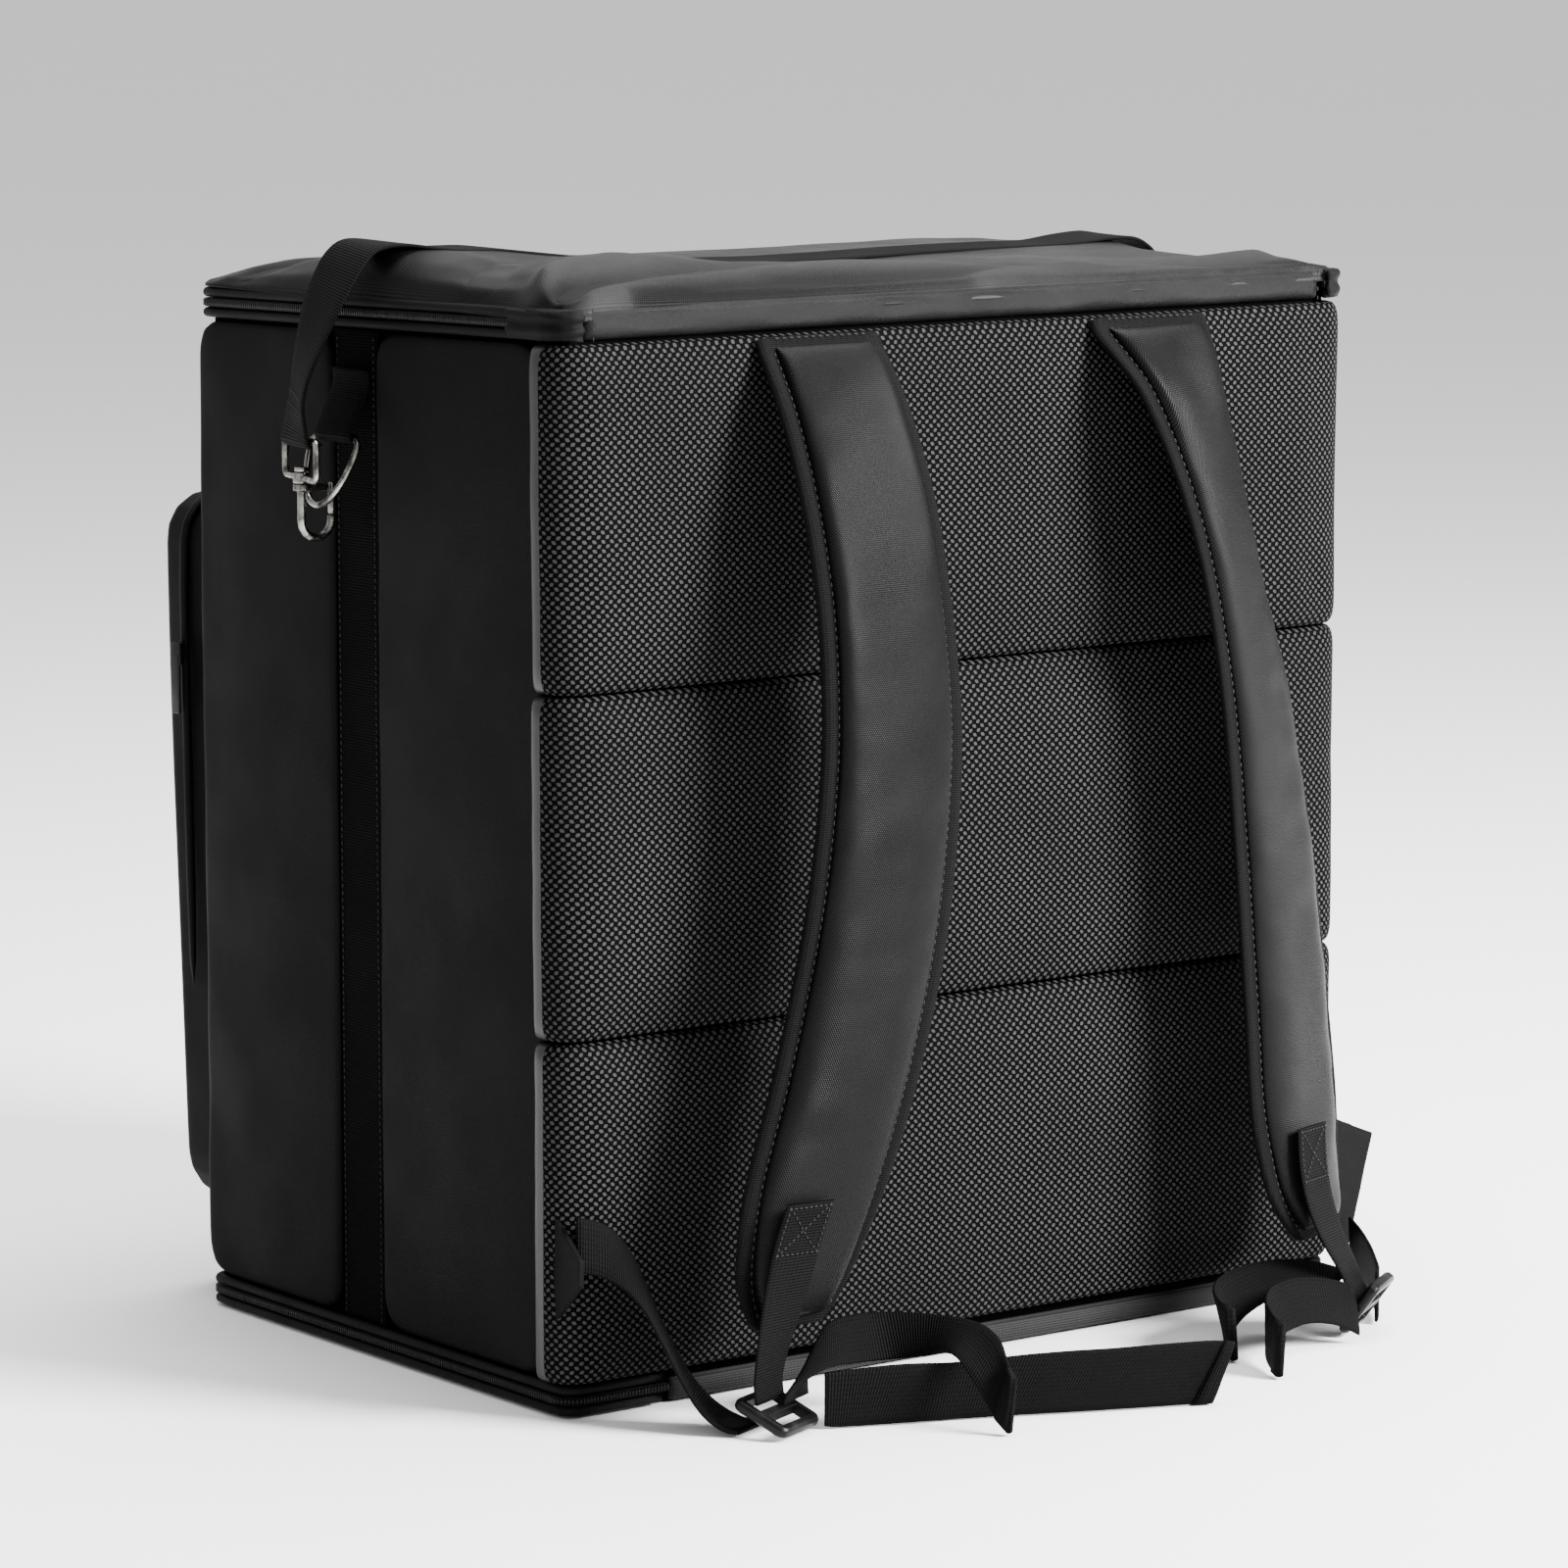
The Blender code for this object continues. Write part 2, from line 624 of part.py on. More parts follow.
def make_shoulder_straps():
    """Each strap: a flat bound base with a raised cushion on its outer face."""
    for side in ("left", "right"):
        sections = strap_sections(side, 2)
        base = []
        for index, section in enumerate(sections):
            out = outward_at(sections, index) * STRAP_BASE / 2
            half = side_of(section) * section.width / 2
            inner = half * (1 - 2 * BINDING / section.width)
            centre = Vector((section.x, section.y, section.z))
            base.append([centre - half - out, centre - inner - out, centre + inner - out, centre + half - out,
                         centre + half + out, centre + inner + out, centre - inner + out, centre - half + out])
        loft(f"shoulder_strap_{side}", base, "binding")
        rings = []
        last = len(sections) - 2
        for index in range(1, last + 1):
            section = sections[index]
            out = outward_at(sections, index)
            half = side_of(section) * (section.width / 2 - BINDING)
            centre = Vector((section.x, section.y, section.z)) + out * (STRAP_BASE / 2 + 3 * TOUCH)
            full = (STRAP_CUSHION - STRAP_BASE) * (0.45 if index in (1, last) else 1.0)
            rings.append([centre + half * point.across + out * full * point.height
                          for point in CUSHION_PROFILE])
        loft(f"shoulder_cushion_{side}", rings, "padded_cloth")


FloorRow = namedtuple("FloorRow", "along back height turn lift")
# Along is a share of half the body's width, back a share of HARNESS_REACH behind the shell and
# height a share of TAIL_RISE. Turn and lift give the direction across the webbing.
HARNESS_ROWS = {
    "strap_webbing_left": (
        FloorRow(-0.645, 0.547, 2.23, -6, 0),
        FloorRow(-0.668, 0.534, 1.86, -6, 0),
        FloorRow(-0.690, 0.532, 1.50, -2, 0),
        FloorRow(-0.712, 0.530, 1.12, 8, 0),
        FloorRow(-0.728, 0.526, 0.80, 18, 0),
        FloorRow(-0.733, 0.514, 0.52, 23, 0),
        FloorRow(-0.725, 0.505, 0.311, 23, 0),
    ),
    "strap_webbing_right": (
        FloorRow(0.688, 0.476, 2.15, 17, 0),
        FloorRow(0.684, 0.491, 1.80, 18, 0),
        FloorRow(0.690, 0.511, 1.42, 20, 0),
        FloorRow(0.712, 0.532, 1.05, 24, 0),
        FloorRow(0.745, 0.548, 0.72, 30, 0),
        FloorRow(0.766, 0.560, 0.48, 33, 0),
        FloorRow(0.768, 0.584, 0.352, 33, 0),
    ),
    "lower_webbing_left": (
        FloorRow(-1.003, 0.110, 1.80, 53, 78),
        FloorRow(-0.950, 0.130, 1.72, 53, 68),
        FloorRow(-0.912, 0.160, 1.55, 53, 45),
        FloorRow(-0.888, 0.200, 1.30, 53, 20),
        FloorRow(-0.874, 0.240, 1.04, 53, 8),
        FloorRow(-0.860, 0.280, 0.78, 52, 4),
        FloorRow(-0.840, 0.325, 0.48, 48, 0),
        FloorRow(-0.812, 0.375, 0.22, 40, 0),
        FloorRow(-0.780, 0.430, 0.07, 30, 0),
        FloorRow(-0.755, 0.475, 0.04, 23, 0),
    ),
    "lower_webbing_right": (
        FloorRow(1.060, 0.028, 0.44, 62, 80),
        FloorRow(1.035, 0.120, 0.38, 62, 83),
        FloorRow(0.985, 0.250, 0.33, 60, 86),
        FloorRow(0.925, 0.380, 0.30, 56, 88),
        FloorRow(0.875, 0.480, 0.29, 50, 89),
        FloorRow(0.839, 0.537, 0.287, 46, 89),
    ),
    "strap_tail_left": (
        FloorRow(-0.660, 0.500, 0.275, 26, 0),
        FloorRow(-0.640, 0.478, 0.46, 34, 16),
        FloorRow(-0.560, 0.445, 0.68, 52, 40),
        FloorRow(-0.480, 0.430, 0.70, 64, 50),
        FloorRow(-0.410, 0.455, 0.70, 68, 48),
        FloorRow(-0.370, 0.560, 0.74, 50, 38),
        FloorRow(-0.356, 0.720, 0.80, 25, 25),
        FloorRow(-0.360, 0.840, 0.66, 12, 42),
        FloorRow(-0.365, 0.920, 0.42, 10, 65),
        FloorRow(-0.365, 0.975, 0.285, 10, 82),
    ),
    "belt_tail_left": (
        FloorRow(-0.627, 0.5625, 0.284, 0, 90),
        FloorRow(-0.600, 0.585, 0.284, 0, 90),
        FloorRow(-0.450, 0.680, 0.284, 0, 90),
        FloorRow(-0.310, 0.760, 0.284, 0, 90),
        FloorRow(-0.090, 0.910, 0.284, 0, 90),
        FloorRow(0.150, 1.055, 0.284, 0, 90),
    ),
    "strap_tail_right": (
        FloorRow(0.731, 0.553, 0.56, 33, 4),
        FloorRow(0.692, 0.515, 0.62, 50, 12),
        FloorRow(0.640, 0.490, 0.64, 64, 20),
        FloorRow(0.565, 0.477, 0.62, 78, 28),
        FloorRow(0.476, 0.490, 0.53, 86, 42),
        FloorRow(0.425, 0.520, 0.42, 93, 60),
        FloorRow(0.395, 0.575, 0.33, 98, 75),
        FloorRow(0.375, 0.660, 0.285, 100, 85),
    ),
    "belt_tail_right": (
        FloorRow(0.709, 0.667, 0.31, 60, 60),
        FloorRow(0.655, 0.645, 0.42, 63, 50),
        FloorRow(0.580, 0.632, 0.48, 70, 50),
        FloorRow(0.505, 0.645, 0.44, 72, 56),
        FloorRow(0.445, 0.700, 0.36, 55, 66),
        FloorRow(0.400, 0.800, 0.30, 38, 76),
        FloorRow(0.360, 0.915, 0.286, 28, 82),
    ),
}


def harness_sections(name, steps):
    """The sections of a webbing of the harness, in metres."""
    return [Section(row.along * BODY_WIDTH / 2, BACK_FACE - row.back * HARNESS_REACH,
                    row.height * TAIL_RISE, row.turn, row.lift, WEBBING)
            for row in smooth_rows(HARNESS_ROWS[name], steps)]


BucklePlace = namedtuple("BucklePlace", "along back turn tilt")
BUCKLE_PLACES = {
    "left": BucklePlace(-0.715, 0.520, 23, 24),
    "right": BucklePlace(0.775, 0.600, 33, -55),
}


def make_buckle(side):
    """A ladder buckle that rests on the floor: a rounded plate with two slots."""
    place = BUCKLE_PLACES[side]
    rise = (BUCKLE_LENGTH * abs(math.sin(math.radians(place.tilt))) / 2
            + BUCKLE_THICKNESS * math.cos(math.radians(place.tilt)) / 2 + BASE_LIFT)
    centre = Vector((place.along * BODY_WIDTH / 2, BACK_FACE - place.back * HARNESS_REACH, rise))
    shape = bmesh.new()
    bmesh.ops.create_cube(shape, size=1.0)
    bmesh.ops.scale(shape, vec=(BUCKLE_WIDTH, BUCKLE_LENGTH, BUCKLE_THICKNESS), verts=shape.verts)
    corners = [edge for edge in shape.edges if edge.verts[0].co.z * edge.verts[1].co.z < 0]
    bmesh.ops.bevel(shape, geom=corners, offset=BUCKLE_BAR, segments=3, profile=0.5, affect="EDGES")
    flats = [edge for edge in shape.edges if edge.verts[0].co.z * edge.verts[1].co.z > 0]
    bmesh.ops.bevel(shape, geom=flats, offset=BUCKLE_THICKNESS / 4, segments=1, profile=0.5,
                    affect="EDGES")
    plate = from_bmesh(f"strap_buckle_{side}", shape, "plastic")
    slot = (BUCKLE_LENGTH - 3 * BUCKLE_BAR) / 2
    for sign in (-1, 1):
        hole = bmesh.new()
        bmesh.ops.create_cube(hole, size=1.0)
        bmesh.ops.scale(hole, vec=(BUCKLE_WIDTH - 2 * BUCKLE_BAR * 0.9, slot, BUCKLE_THICKNESS * 3),
                        verts=hole.verts)
        bmesh.ops.translate(hole, vec=(0, sign * (slot + BUCKLE_BAR) / 2, 0), verts=hole.verts)
        cutter = from_bmesh(f"slot_{side}", hole, "plastic")
        plate = combine(plate, cutter, "DIFFERENCE")
    plate.matrix_world = (Matrix.Translation(centre) @ Matrix.Rotation(math.radians(place.turn), 4, "Z")
                          @ Matrix.Rotation(math.radians(place.tilt), 4, "X"))


CornerTab = namedtuple("CornerTab", "turn depth root_top root_foot tip_top tip_foot foot_reach")
# Depth is the root's distance behind the middle as a share of half the body's depth. Heights are
# shares of TAB_HEIGHT and foot_reach is a share of TAB_REACH.
CORNER_TABS = {
    "left": CornerTab(262, 0.915, 1.12, 0.43, 0.88, 0.75, 0.98),
    "right": CornerTab(0, 0.940, 0.965, 0.46, 0.81, 0.10, 0.50),
}


def make_corner_tab(side):
    """A folded cloth wing sewn into the lower back corner, for the lower webbing."""
    tab = CORNER_TABS[side]
    sign = -1 if side == "left" else 1
    turn = math.radians(tab.turn)
    away = Vector((math.cos(turn), math.sin(turn), 0)) * TAB_REACH
    stand_off = PAD_EDGE + WRAP_GAP + 2 * TOUCH + CLOTH / 2 * abs(math.sin(turn))
    root = Vector((sign * (SHELL_X + stand_off), -tab.depth * BODY_DEPTH / 2, 0))
    up = Vector((0, 0, TAB_HEIGHT))
    corners = (root + up * tab.root_top, root + up * tab.root_foot,
               root + away * tab.foot_reach + up * tab.tip_foot, root + away + up * tab.tip_top)
    shape = bmesh.new()
    shape.faces.new([shape.verts.new(corner) for corner in corners])
    item = from_bmesh(f"corner_tab_{side}", shape, "padded_cloth")
    add_solidify(item, CLOTH)


def make_harness():
    """Buckles, webbings and tails of both straps, and the corner tabs."""
    for side in ("left", "right"):
        make_buckle(side)
        make_corner_tab(side)
    for name in HARNESS_ROWS:
        ribbon(name, harness_sections(name, 3), WEBBING_THICKNESS, "webbing")


def make_pocket():
    """The front pocket: a tapered cloth cup that is open against the body's front."""
    seat = FRONT_FACE + 2 * TOUCH + PAD_EDGE
    shape = bmesh.new()
    bmesh.ops.create_cube(shape, size=1.0)
    depthwise = [edge for edge in shape.edges if edge.verts[0].co.y * edge.verts[1].co.y < 0]
    for vert in shape.verts:
        vert.co.x *= POCKET_WIDTH
        vert.co.z *= POCKET_HEIGHT
    bmesh.ops.bevel(shape, geom=depthwise, offset=POCKET_ROUNDING, segments=4, profile=0.5,
                    affect="EDGES")
    for vert in shape.verts:
        share = vert.co.z / POCKET_HEIGHT + 0.5
        depth = POCKET_DEPTH_BASE + (POCKET_DEPTH_TOP - POCKET_DEPTH_BASE) * share
        vert.co.y = seat + (depth if vert.co.y > 0 else 0.0)
        vert.co.z += POCKET_BASE + POCKET_HEIGHT / 2
    back = [face for face in shape.faces if all(vert.co.y < seat + TOUCH for vert in face.verts)]
    bmesh.ops.delete(shape, geom=back, context="FACES")
    front = [edge for edge in shape.edges if all(vert.co.y > seat + TOUCH for vert in edge.verts)]
    bmesh.ops.bevel(shape, geom=front, offset=POCKET_EDGE, segments=2, profile=0.5, affect="EDGES")
    item = from_bmesh("front_pocket", shape, "padded_cloth", 50.0)
    add_solidify(item, CLOTH, -1.0)


def bar_wrap(x, z, radius, direction, steps=6):
    """Half a turn under a bar: places from one side of it to the other, in x and z."""
    places = []
    for step in range(steps + 1):
        angle = math.radians(180 * step / steps)
        places.append((x + direction * radius * math.cos(angle), z - radius * math.sin(angle)))
    return places


WRAP_RADIUS = RING_WIRE + 2 * TOUCH + WIDE_WEBBING_THICKNESS / 2
POST_X = BODY_WIDTH / 2 + LOOP_STAND_OFF
RING_X = BODY_WIDTH / 2 + RING_STAND_OFF
RING_LOW = RING_HEIGHT - RING_DROP
SHOULDER_Z = RING_LOW + HOOK_HANG
LOOP_LOW = SHOULDER_Z + HOOK_WIRE + POST_CLEARANCE + COLLAR_HEIGHT / 2
LOOP_TOP = LOOP_LOW + LOOP_HEIGHT

CarryRow = namedtuple("CarryRow", "out height twist")
# Out is a share of the post's distance from the middle, height a share of the way from the
# loop's upper bar up to the lid's seam.
CARRY_ROWS = {
    "left": (
        CarryRow(0.860, 1.46, 0),
        CarryRow(0.922, 1.23, 2),
        CarryRow(0.960, 0.92, 8),
        CarryRow(0.990, 0.60, 18),
        CarryRow(1.008, 0.32, 24),
        CarryRow(1.012, 0.14, 18),
    ),
    "right": (
        CarryRow(0.860, 1.25, 0),
        CarryRow(0.926, 1.13, 2),
        CarryRow(0.960, 0.88, 8),
        CarryRow(0.990, 0.58, 18),
        CarryRow(1.008, 0.32, 24),
        CarryRow(1.012, 0.14, 18),
    ),
}
LID_SHARES = (0.0, 0.14, 0.28, 0.42, 0.56, 0.69, 0.80)


def lid_top_under_strap(along):
    """The highest lid surface under the carry strap at a share of the lid's half width."""
    heights = []
    for reach in (-0.5, -0.25, 0.0, 0.25, 0.5):
        y = STRIP_PLACE + reach * WIDE_WEBBING
        for step in (-0.05, 0.0, 0.05):
            share = min(max(along + step, -1.0), 1.0)
            z = LID_SEAT + LID_RISE * lid_height(share, y / LID_HALF_Y)
            heights.append(z - sag_at(y, z))
    return max(heights)


def carry_half(side, sign):
    """The carry strap's sections from the middle of the lid to its sewn end on one side."""
    rest = WIDE_WEBBING_THICKNESS / 2 + 2 * TOUCH
    rows = [Section(share * LID_HALF_X, STRIP_PLACE, lid_top_under_strap(sign * share) + rest,
                    90, 0, WIDE_WEBBING) for share in LID_SHARES]
    for row in CARRY_ROWS[side]:
        rows.append(Section(row.out * POST_X, STRIP_PLACE, LOOP_TOP + row.height * (SEAM_HEIGHT - LOOP_TOP),
                            90 + row.twist, 0, WIDE_WEBBING))
    half = smooth_rows(rows, 2)
    turn = math.radians(LOOP_TURN)
    ends = bar_wrap(0.0, LOOP_TOP, WRAP_RADIUS, 1) + [(-WRAP_RADIUS, LOOP_TOP + STRAP_RETURN)]
    half += [Section(POST_X + reach * math.cos(turn), STRIP_PLACE + reach * math.sin(turn), z,
                     90 + LOOP_TURN, 0, WIDE_WEBBING) for reach, z in ends]
    if sign > 0:
        return half
    return [section._replace(x=-section.x, turn=180 - section.turn) for section in half[:0:-1]]


def make_carry_strap():
    """The wide webbing over the lid, sewn round a metal loop at each end."""
    ribbon("carry_strap", carry_half("left", -1) + carry_half("right", 1), WIDE_WEBBING_THICKNESS, "webbing")


STRIP_X = SHELL_X + TOUCH + WIDE_WEBBING_THICKNESS / 2


def make_side_strips():
    """The webbing strip down the middle of each side."""
    for side, sign in (("left", -1), ("right", 1)):
        ends = [Section(sign * STRIP_X, STRIP_PLACE, z, 90, 0, WIDE_WEBBING) for z in (PAD_LOW, PAD_HIGH)]
        ribbon(f"side_strip_{side}", ends, WIDE_WEBBING_THICKNESS, "webbing")


def make_keeper(side, sign):
    """The short webbing on a side strip that holds its ring."""
    inner = STRIP_X + WIDE_WEBBING_THICKNESS + TOUCH
    outer = inner + WIDE_WEBBING_THICKNESS + TOUCH
    places = [(inner, RING_HEIGHT + KEEPER_RISE), (inner, RING_HEIGHT + KEEPER_RISE * 0.7)]
    places += bar_wrap(RING_X, RING_HEIGHT, WRAP_RADIUS, -1)
    places += [(outer, RING_HEIGHT + KEEPER_RISE * 0.7), (outer, RING_HEIGHT + KEEPER_RISE)]
    ribbon(f"ring_keeper_{side}", [Section(sign * x, STRIP_PLACE, z, 90, 0, KEEPER_WIDTH) for x, z in places],
           WIDE_WEBBING_THICKNESS, "webbing")


def make_ring(side, sign):
    """The D-shaped ring: a bar in its keeper and a bow that leans out through the hook's mouth."""
    half = WIDE_WEBBING / 2 + RING_WIRE + TOUCH
    lean = POST_X - HOOK_MOUTH / 2 - RING_X
    points = []
    steps = 14
    for step in range(steps + 1):
        angle = math.pi * step / steps
        drop = math.sin(angle)
        points.append((sign * (RING_X + lean * drop), STRIP_PLACE - half * math.cos(angle),
                       RING_HEIGHT - RING_DROP * drop))
    wire(f"d_ring_{side}", points, RING_WIRE, "metal", cyclic=True)


def loop_wire(name, sign):
    """The rounded metal loop that the carry strap is sewn round, as a welded mesh."""
    half = WIDE_WEBBING / 2 + LOOP_ROUNDING + TOUCH
    turn = math.radians(LOOP_TURN)
    points = []
    for across, z, start in ((1, LOOP_TOP - LOOP_ROUNDING, 0), (-1, LOOP_TOP - LOOP_ROUNDING, 90),
                             (-1, LOOP_LOW + LOOP_ROUNDING, 180), (1, LOOP_LOW + LOOP_ROUNDING, 270)):
        for step in range(4):
            angle = math.radians(start + 90 * step / 3)
            reach = across * (half - LOOP_ROUNDING) + LOOP_ROUNDING * math.cos(angle)
            points.append((sign * (POST_X - reach * math.sin(turn)), STRIP_PLACE + reach * math.cos(turn),
                           z + LOOP_ROUNDING * math.sin(angle)))
    return as_mesh(wire(name, points, RING_WIRE, "metal", cyclic=True))


def hook_wire_path(sign):
    """The hook's wire in its upright plane: shoulder, body, bend and tip."""
    radius = HOOK_MOUTH / 2
    bend_z = SHOULDER_Z - HOOK_DROP + radius
    path = [(HOOK_MOUTH - GATE_THICKNESS / 2 - GATE_ROOM, SHOULDER_Z), (HOOK_WIRE, SHOULDER_Z),
            (HOOK_WIRE * 0.3, SHOULDER_Z - HOOK_WIRE * 0.3), (0.0, SHOULDER_Z - HOOK_WIRE)]
    for step in range(9):
        angle = math.pi * step / 8
        path.append((radius - radius * math.cos(angle), bend_z - radius * math.sin(angle)))
    path.append((HOOK_MOUTH, bend_z + HOOK_WIRE))
    return [(sign * (POST_X - inward), STRIP_PLACE, z) for inward, z in path]


def hook_body(name, sign):
    """The swivel post with its head and the hook's wire below it, as one body."""
    place = (sign * POST_X, STRIP_PLACE)
    collar_top = LOOP_LOW + COLLAR_HEIGHT / 2
    body = as_mesh(wire(name, hook_wire_path(sign), HOOK_WIRE, "metal"))
    under_collar = LOOP_LOW - COLLAR_HEIGHT / 2 - POST_CLEARANCE
    over_collar = collar_top + POST_CLEARANCE
    pieces = ((POST_RADIUS, SHOULDER_Z, over_collar + POST_HEAD / 2),
              (COLLAR_RADIUS, SHOULDER_Z - HOOK_WIRE / 2, under_collar),
              (COLLAR_RADIUS * 0.8, over_collar, over_collar + POST_HEAD))
    for index, (radius, low, high) in enumerate(pieces):
        body = combine(body, cylinder(f"{name}_{index}", radius, low, high, place, "metal"), "UNION")
    return body


def gate_shape(name, sign, overlap):
    """The gate: a flat sprung lever from the hook's shoulder down to its tip."""
    tip_z = SHOULDER_Z - HOOK_DROP + HOOK_MOUTH / 2 + HOOK_WIRE
    low = tip_z + TOUCH - overlap
    high = SHOULDER_Z + HOOK_WIRE
    shape = bmesh.new()
    bmesh.ops.create_cube(shape, size=1.0)
    bmesh.ops.scale(shape, vec=(GATE_THICKNESS, GATE_WIDTH, high - low), verts=shape.verts)
    bmesh.ops.bevel(shape, geom=list(shape.edges), offset=GATE_THICKNESS / 5, segments=1, profile=0.5,
                    affect="EDGES")
    bmesh.ops.translate(shape, vec=(0, 0, (high + low) / 2 - SHOULDER_Z), verts=shape.verts)
    item = from_bmesh(name, shape, "metal")
    item.location = (sign * (POST_X - HOOK_MOUTH), STRIP_PLACE, SHOULDER_Z)
    return item


def make_swivel_hook():
    """The left fitting in three pieces: loop with collar, hook on its post, and sprung gate."""
    place = (-POST_X, STRIP_PLACE)
    low, high = LOOP_LOW - COLLAR_HEIGHT / 2, LOOP_LOW + COLLAR_HEIGHT / 2
    loop = loop_wire("swivel_loop_left", -1)
    loop = combine(loop, cylinder("collar", COLLAR_RADIUS, low, high, place, "metal"), "UNION")
    bore = cylinder("bore", POST_RADIUS + POST_CLEARANCE, low - COLLAR_HEIGHT, high + COLLAR_HEIGHT,
                    place, "metal")
    combine(loop, bore, "DIFFERENCE")
    hook = hook_body("snap_hook_left", -1)
    swivel = bpy.data.objects.new("swivel_axis", None)
    swivel.location = (-POST_X, STRIP_PLACE, LOOP_LOW)
    parts.objects.link(swivel)
    hook.parent = swivel
    hook.matrix_parent_inverse = Matrix.Translation(-Vector(swivel.location))
    gate = gate_shape("hook_gate_left", -1, 0.0)
    gate.parent = swivel
    gate.matrix_parent_inverse = Matrix.Translation(-Vector(swivel.location))


def make_plain_hook():
    """The right fitting, which the view never shows, as one plain piece."""
    place = (POST_X, STRIP_PLACE)
    fitting = loop_wire("snap_hook_right", 1)
    low, high = LOOP_LOW - COLLAR_HEIGHT / 2 - POST_CLEARANCE, LOOP_LOW + COLLAR_HEIGHT / 2
    collar = cylinder("collar", COLLAR_RADIUS * 1.02, low - TOUCH, high + POST_CLEARANCE + TOUCH, place,
                      "metal")
    fitting = combine(fitting, collar, "UNION")
    fitting = combine(fitting, hook_body("plain_body", 1), "UNION")
    combine(fitting, gate_shape("plain_gate", 1, HOOK_WIRE), "UNION")


def make_fittings():
    """Everything that hangs on the sides."""
    for side, sign in (("left", -1), ("right", 1)):
        make_keeper(side, sign)
        make_ring(side, sign)
    make_swivel_hook()
    make_plain_hook()


def zip_pull(name, place, outward, direction):
    """A slider with its pull tab, lying flat on a zip: the tab hangs along direction."""
    outward = Vector(outward)
    direction = Vector(direction)
    across = direction.cross(outward)
    frame = Matrix((across, direction, outward)).transposed().to_4x4()
    frame.translation = Vector(place)
    blocks = (((PULL_WIDTH * 1.2, SLIDER_LENGTH, SLIDER_THICKNESS), (0, 0, SLIDER_THICKNESS / 2)),
              ((PULL_WIDTH, PULL_LENGTH, PULL_THICKNESS),
               (0, PULL_LENGTH / 2, SLIDER_THICKNESS - PULL_THICKNESS / 4)))
    pieces = []
    for index, (size, centre) in enumerate(blocks):
        shape = bmesh.new()
        bmesh.ops.create_cube(shape, size=1.0)
        bmesh.ops.scale(shape, vec=size, verts=shape.verts)
        bmesh.ops.bevel(shape, geom=list(shape.edges), offset=PULL_THICKNESS / 4, segments=1,
                        profile=0.5, affect="EDGES")
        bmesh.ops.translate(shape, vec=centre, verts=shape.verts)
        pieces.append(from_bmesh(f"{name}_{index}", shape, "plastic"))
    joined = combine(pieces[0], pieces[1], "UNION")
    joined.name = name
    joined.matrix_world = frame


def make_zips():
    """The zip over the pocket, and the sliders of all three zips."""
    offset = POCKET_ZIP_RADIUS + TOUCH
    half = POCKET_WIDTH / 2 + offset
    top = POCKET_BASE + POCKET_HEIGHT + offset
    radius = POCKET_ROUNDING + offset
    seat = FRONT_FACE + 2 * TOUCH + PAD_EDGE
    plan = [(-half, POCKET_BASE + POCKET_HEIGHT * 0.3), (-half, POCKET_BASE + POCKET_HEIGHT * 0.6)]
    for sign, start in ((-1, 180), (1, 90)):
        for step in range(5):
            angle = math.radians(start - 90 * step / 4)
            plan.append((sign * (half - radius) + radius * math.cos(angle),
                         top - radius + radius * math.sin(angle)))
    plan += [(-x, z) for x, z in plan[1::-1]]
    points = []
    for x, z in plan:
        share = (z - POCKET_BASE) / POCKET_HEIGHT
        depth = POCKET_DEPTH_BASE + (POCKET_DEPTH_TOP - POCKET_DEPTH_BASE) * share
        points.append((x, seat + depth * 0.6, z))
    wire("pocket_zip_tape", points, POCKET_ZIP_RADIUS, "binding")
    slider_z = POCKET_BASE + POCKET_HEIGHT * 0.78
    depth = POCKET_DEPTH_BASE + (POCKET_DEPTH_TOP - POCKET_DEPTH_BASE) * 0.78
    zip_pull("pocket_zip_pull", (-half - POCKET_ZIP_RADIUS - TOUCH, seat + depth * 0.6, slider_z),
             (-1, 0, 0), (0, 0, -1))
    front = SHELL_Y + PIPING_OFFSET + PIPING_RADIUS + TOUCH
    zip_pull("top_zip_pull", (0, front, SEAM_HEIGHT), (0, 1, 0), (0, 0, -1))
    base_z = BASE_LIFT + 2 * PIPING_RADIUS + TOUCH + TAPE_HEIGHT / 2
    zip_pull("base_zip_pull", (0, front, base_z), (0, 1, 0), (1, 0, 0))


def make_end_tabs():
    """The small cloth tab that covers each end of the top zip, round the back corner."""
    offset = PIPING_OFFSET + PIPING_RADIUS + TOUCH + CLOTH / 2
    path = band_path(offset, 0.0, 0.0)
    corner = [(-SHELL_X - offset, -SHELL_Y + END_TAB_LENGTH, 0.0)] + path[4::-1]
    for side, sign in (("left", -1), ("right", 1)):
        line = [(-sign * x, y, z) for x, y, z in corner]
        band(f"zip_end_tab_{side}", line, TOP_BAND_FOOT, TOP_BAND_FOOT + HINGE_BAND_HEIGHT, CLOTH,
             "padded_cloth")


def main():
    """Build the bag from its body outwards."""
    clear_scene()
    make_shell()
    make_pads()
    make_side_strips()
    make_bands()
    make_back_bands()
    make_end_tabs()
    make_lid()
    make_pocket()
    make_zips()
    settle_body()
    make_shoulder_straps()
    make_harness()
    make_carry_strap()
    make_fittings()


main()
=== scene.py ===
"""Looks of the computer carrying bag: cloth, mesh, webbing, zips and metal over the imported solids.

The bag stands at the origin with its padded back towards -Y. Every piece here replaces the plain
solid it stands for and rides on the same body. All lengths are in metres, all angles in degrees.
"""
import logging
import math
from collections.abc import Callable, Sequence
from dataclasses import dataclass, field
from enum import Enum

import bmesh
import bpy
import numpy as np
from mathutils import Matrix, Vector, noise
from mathutils.bvhtree import BVHTree


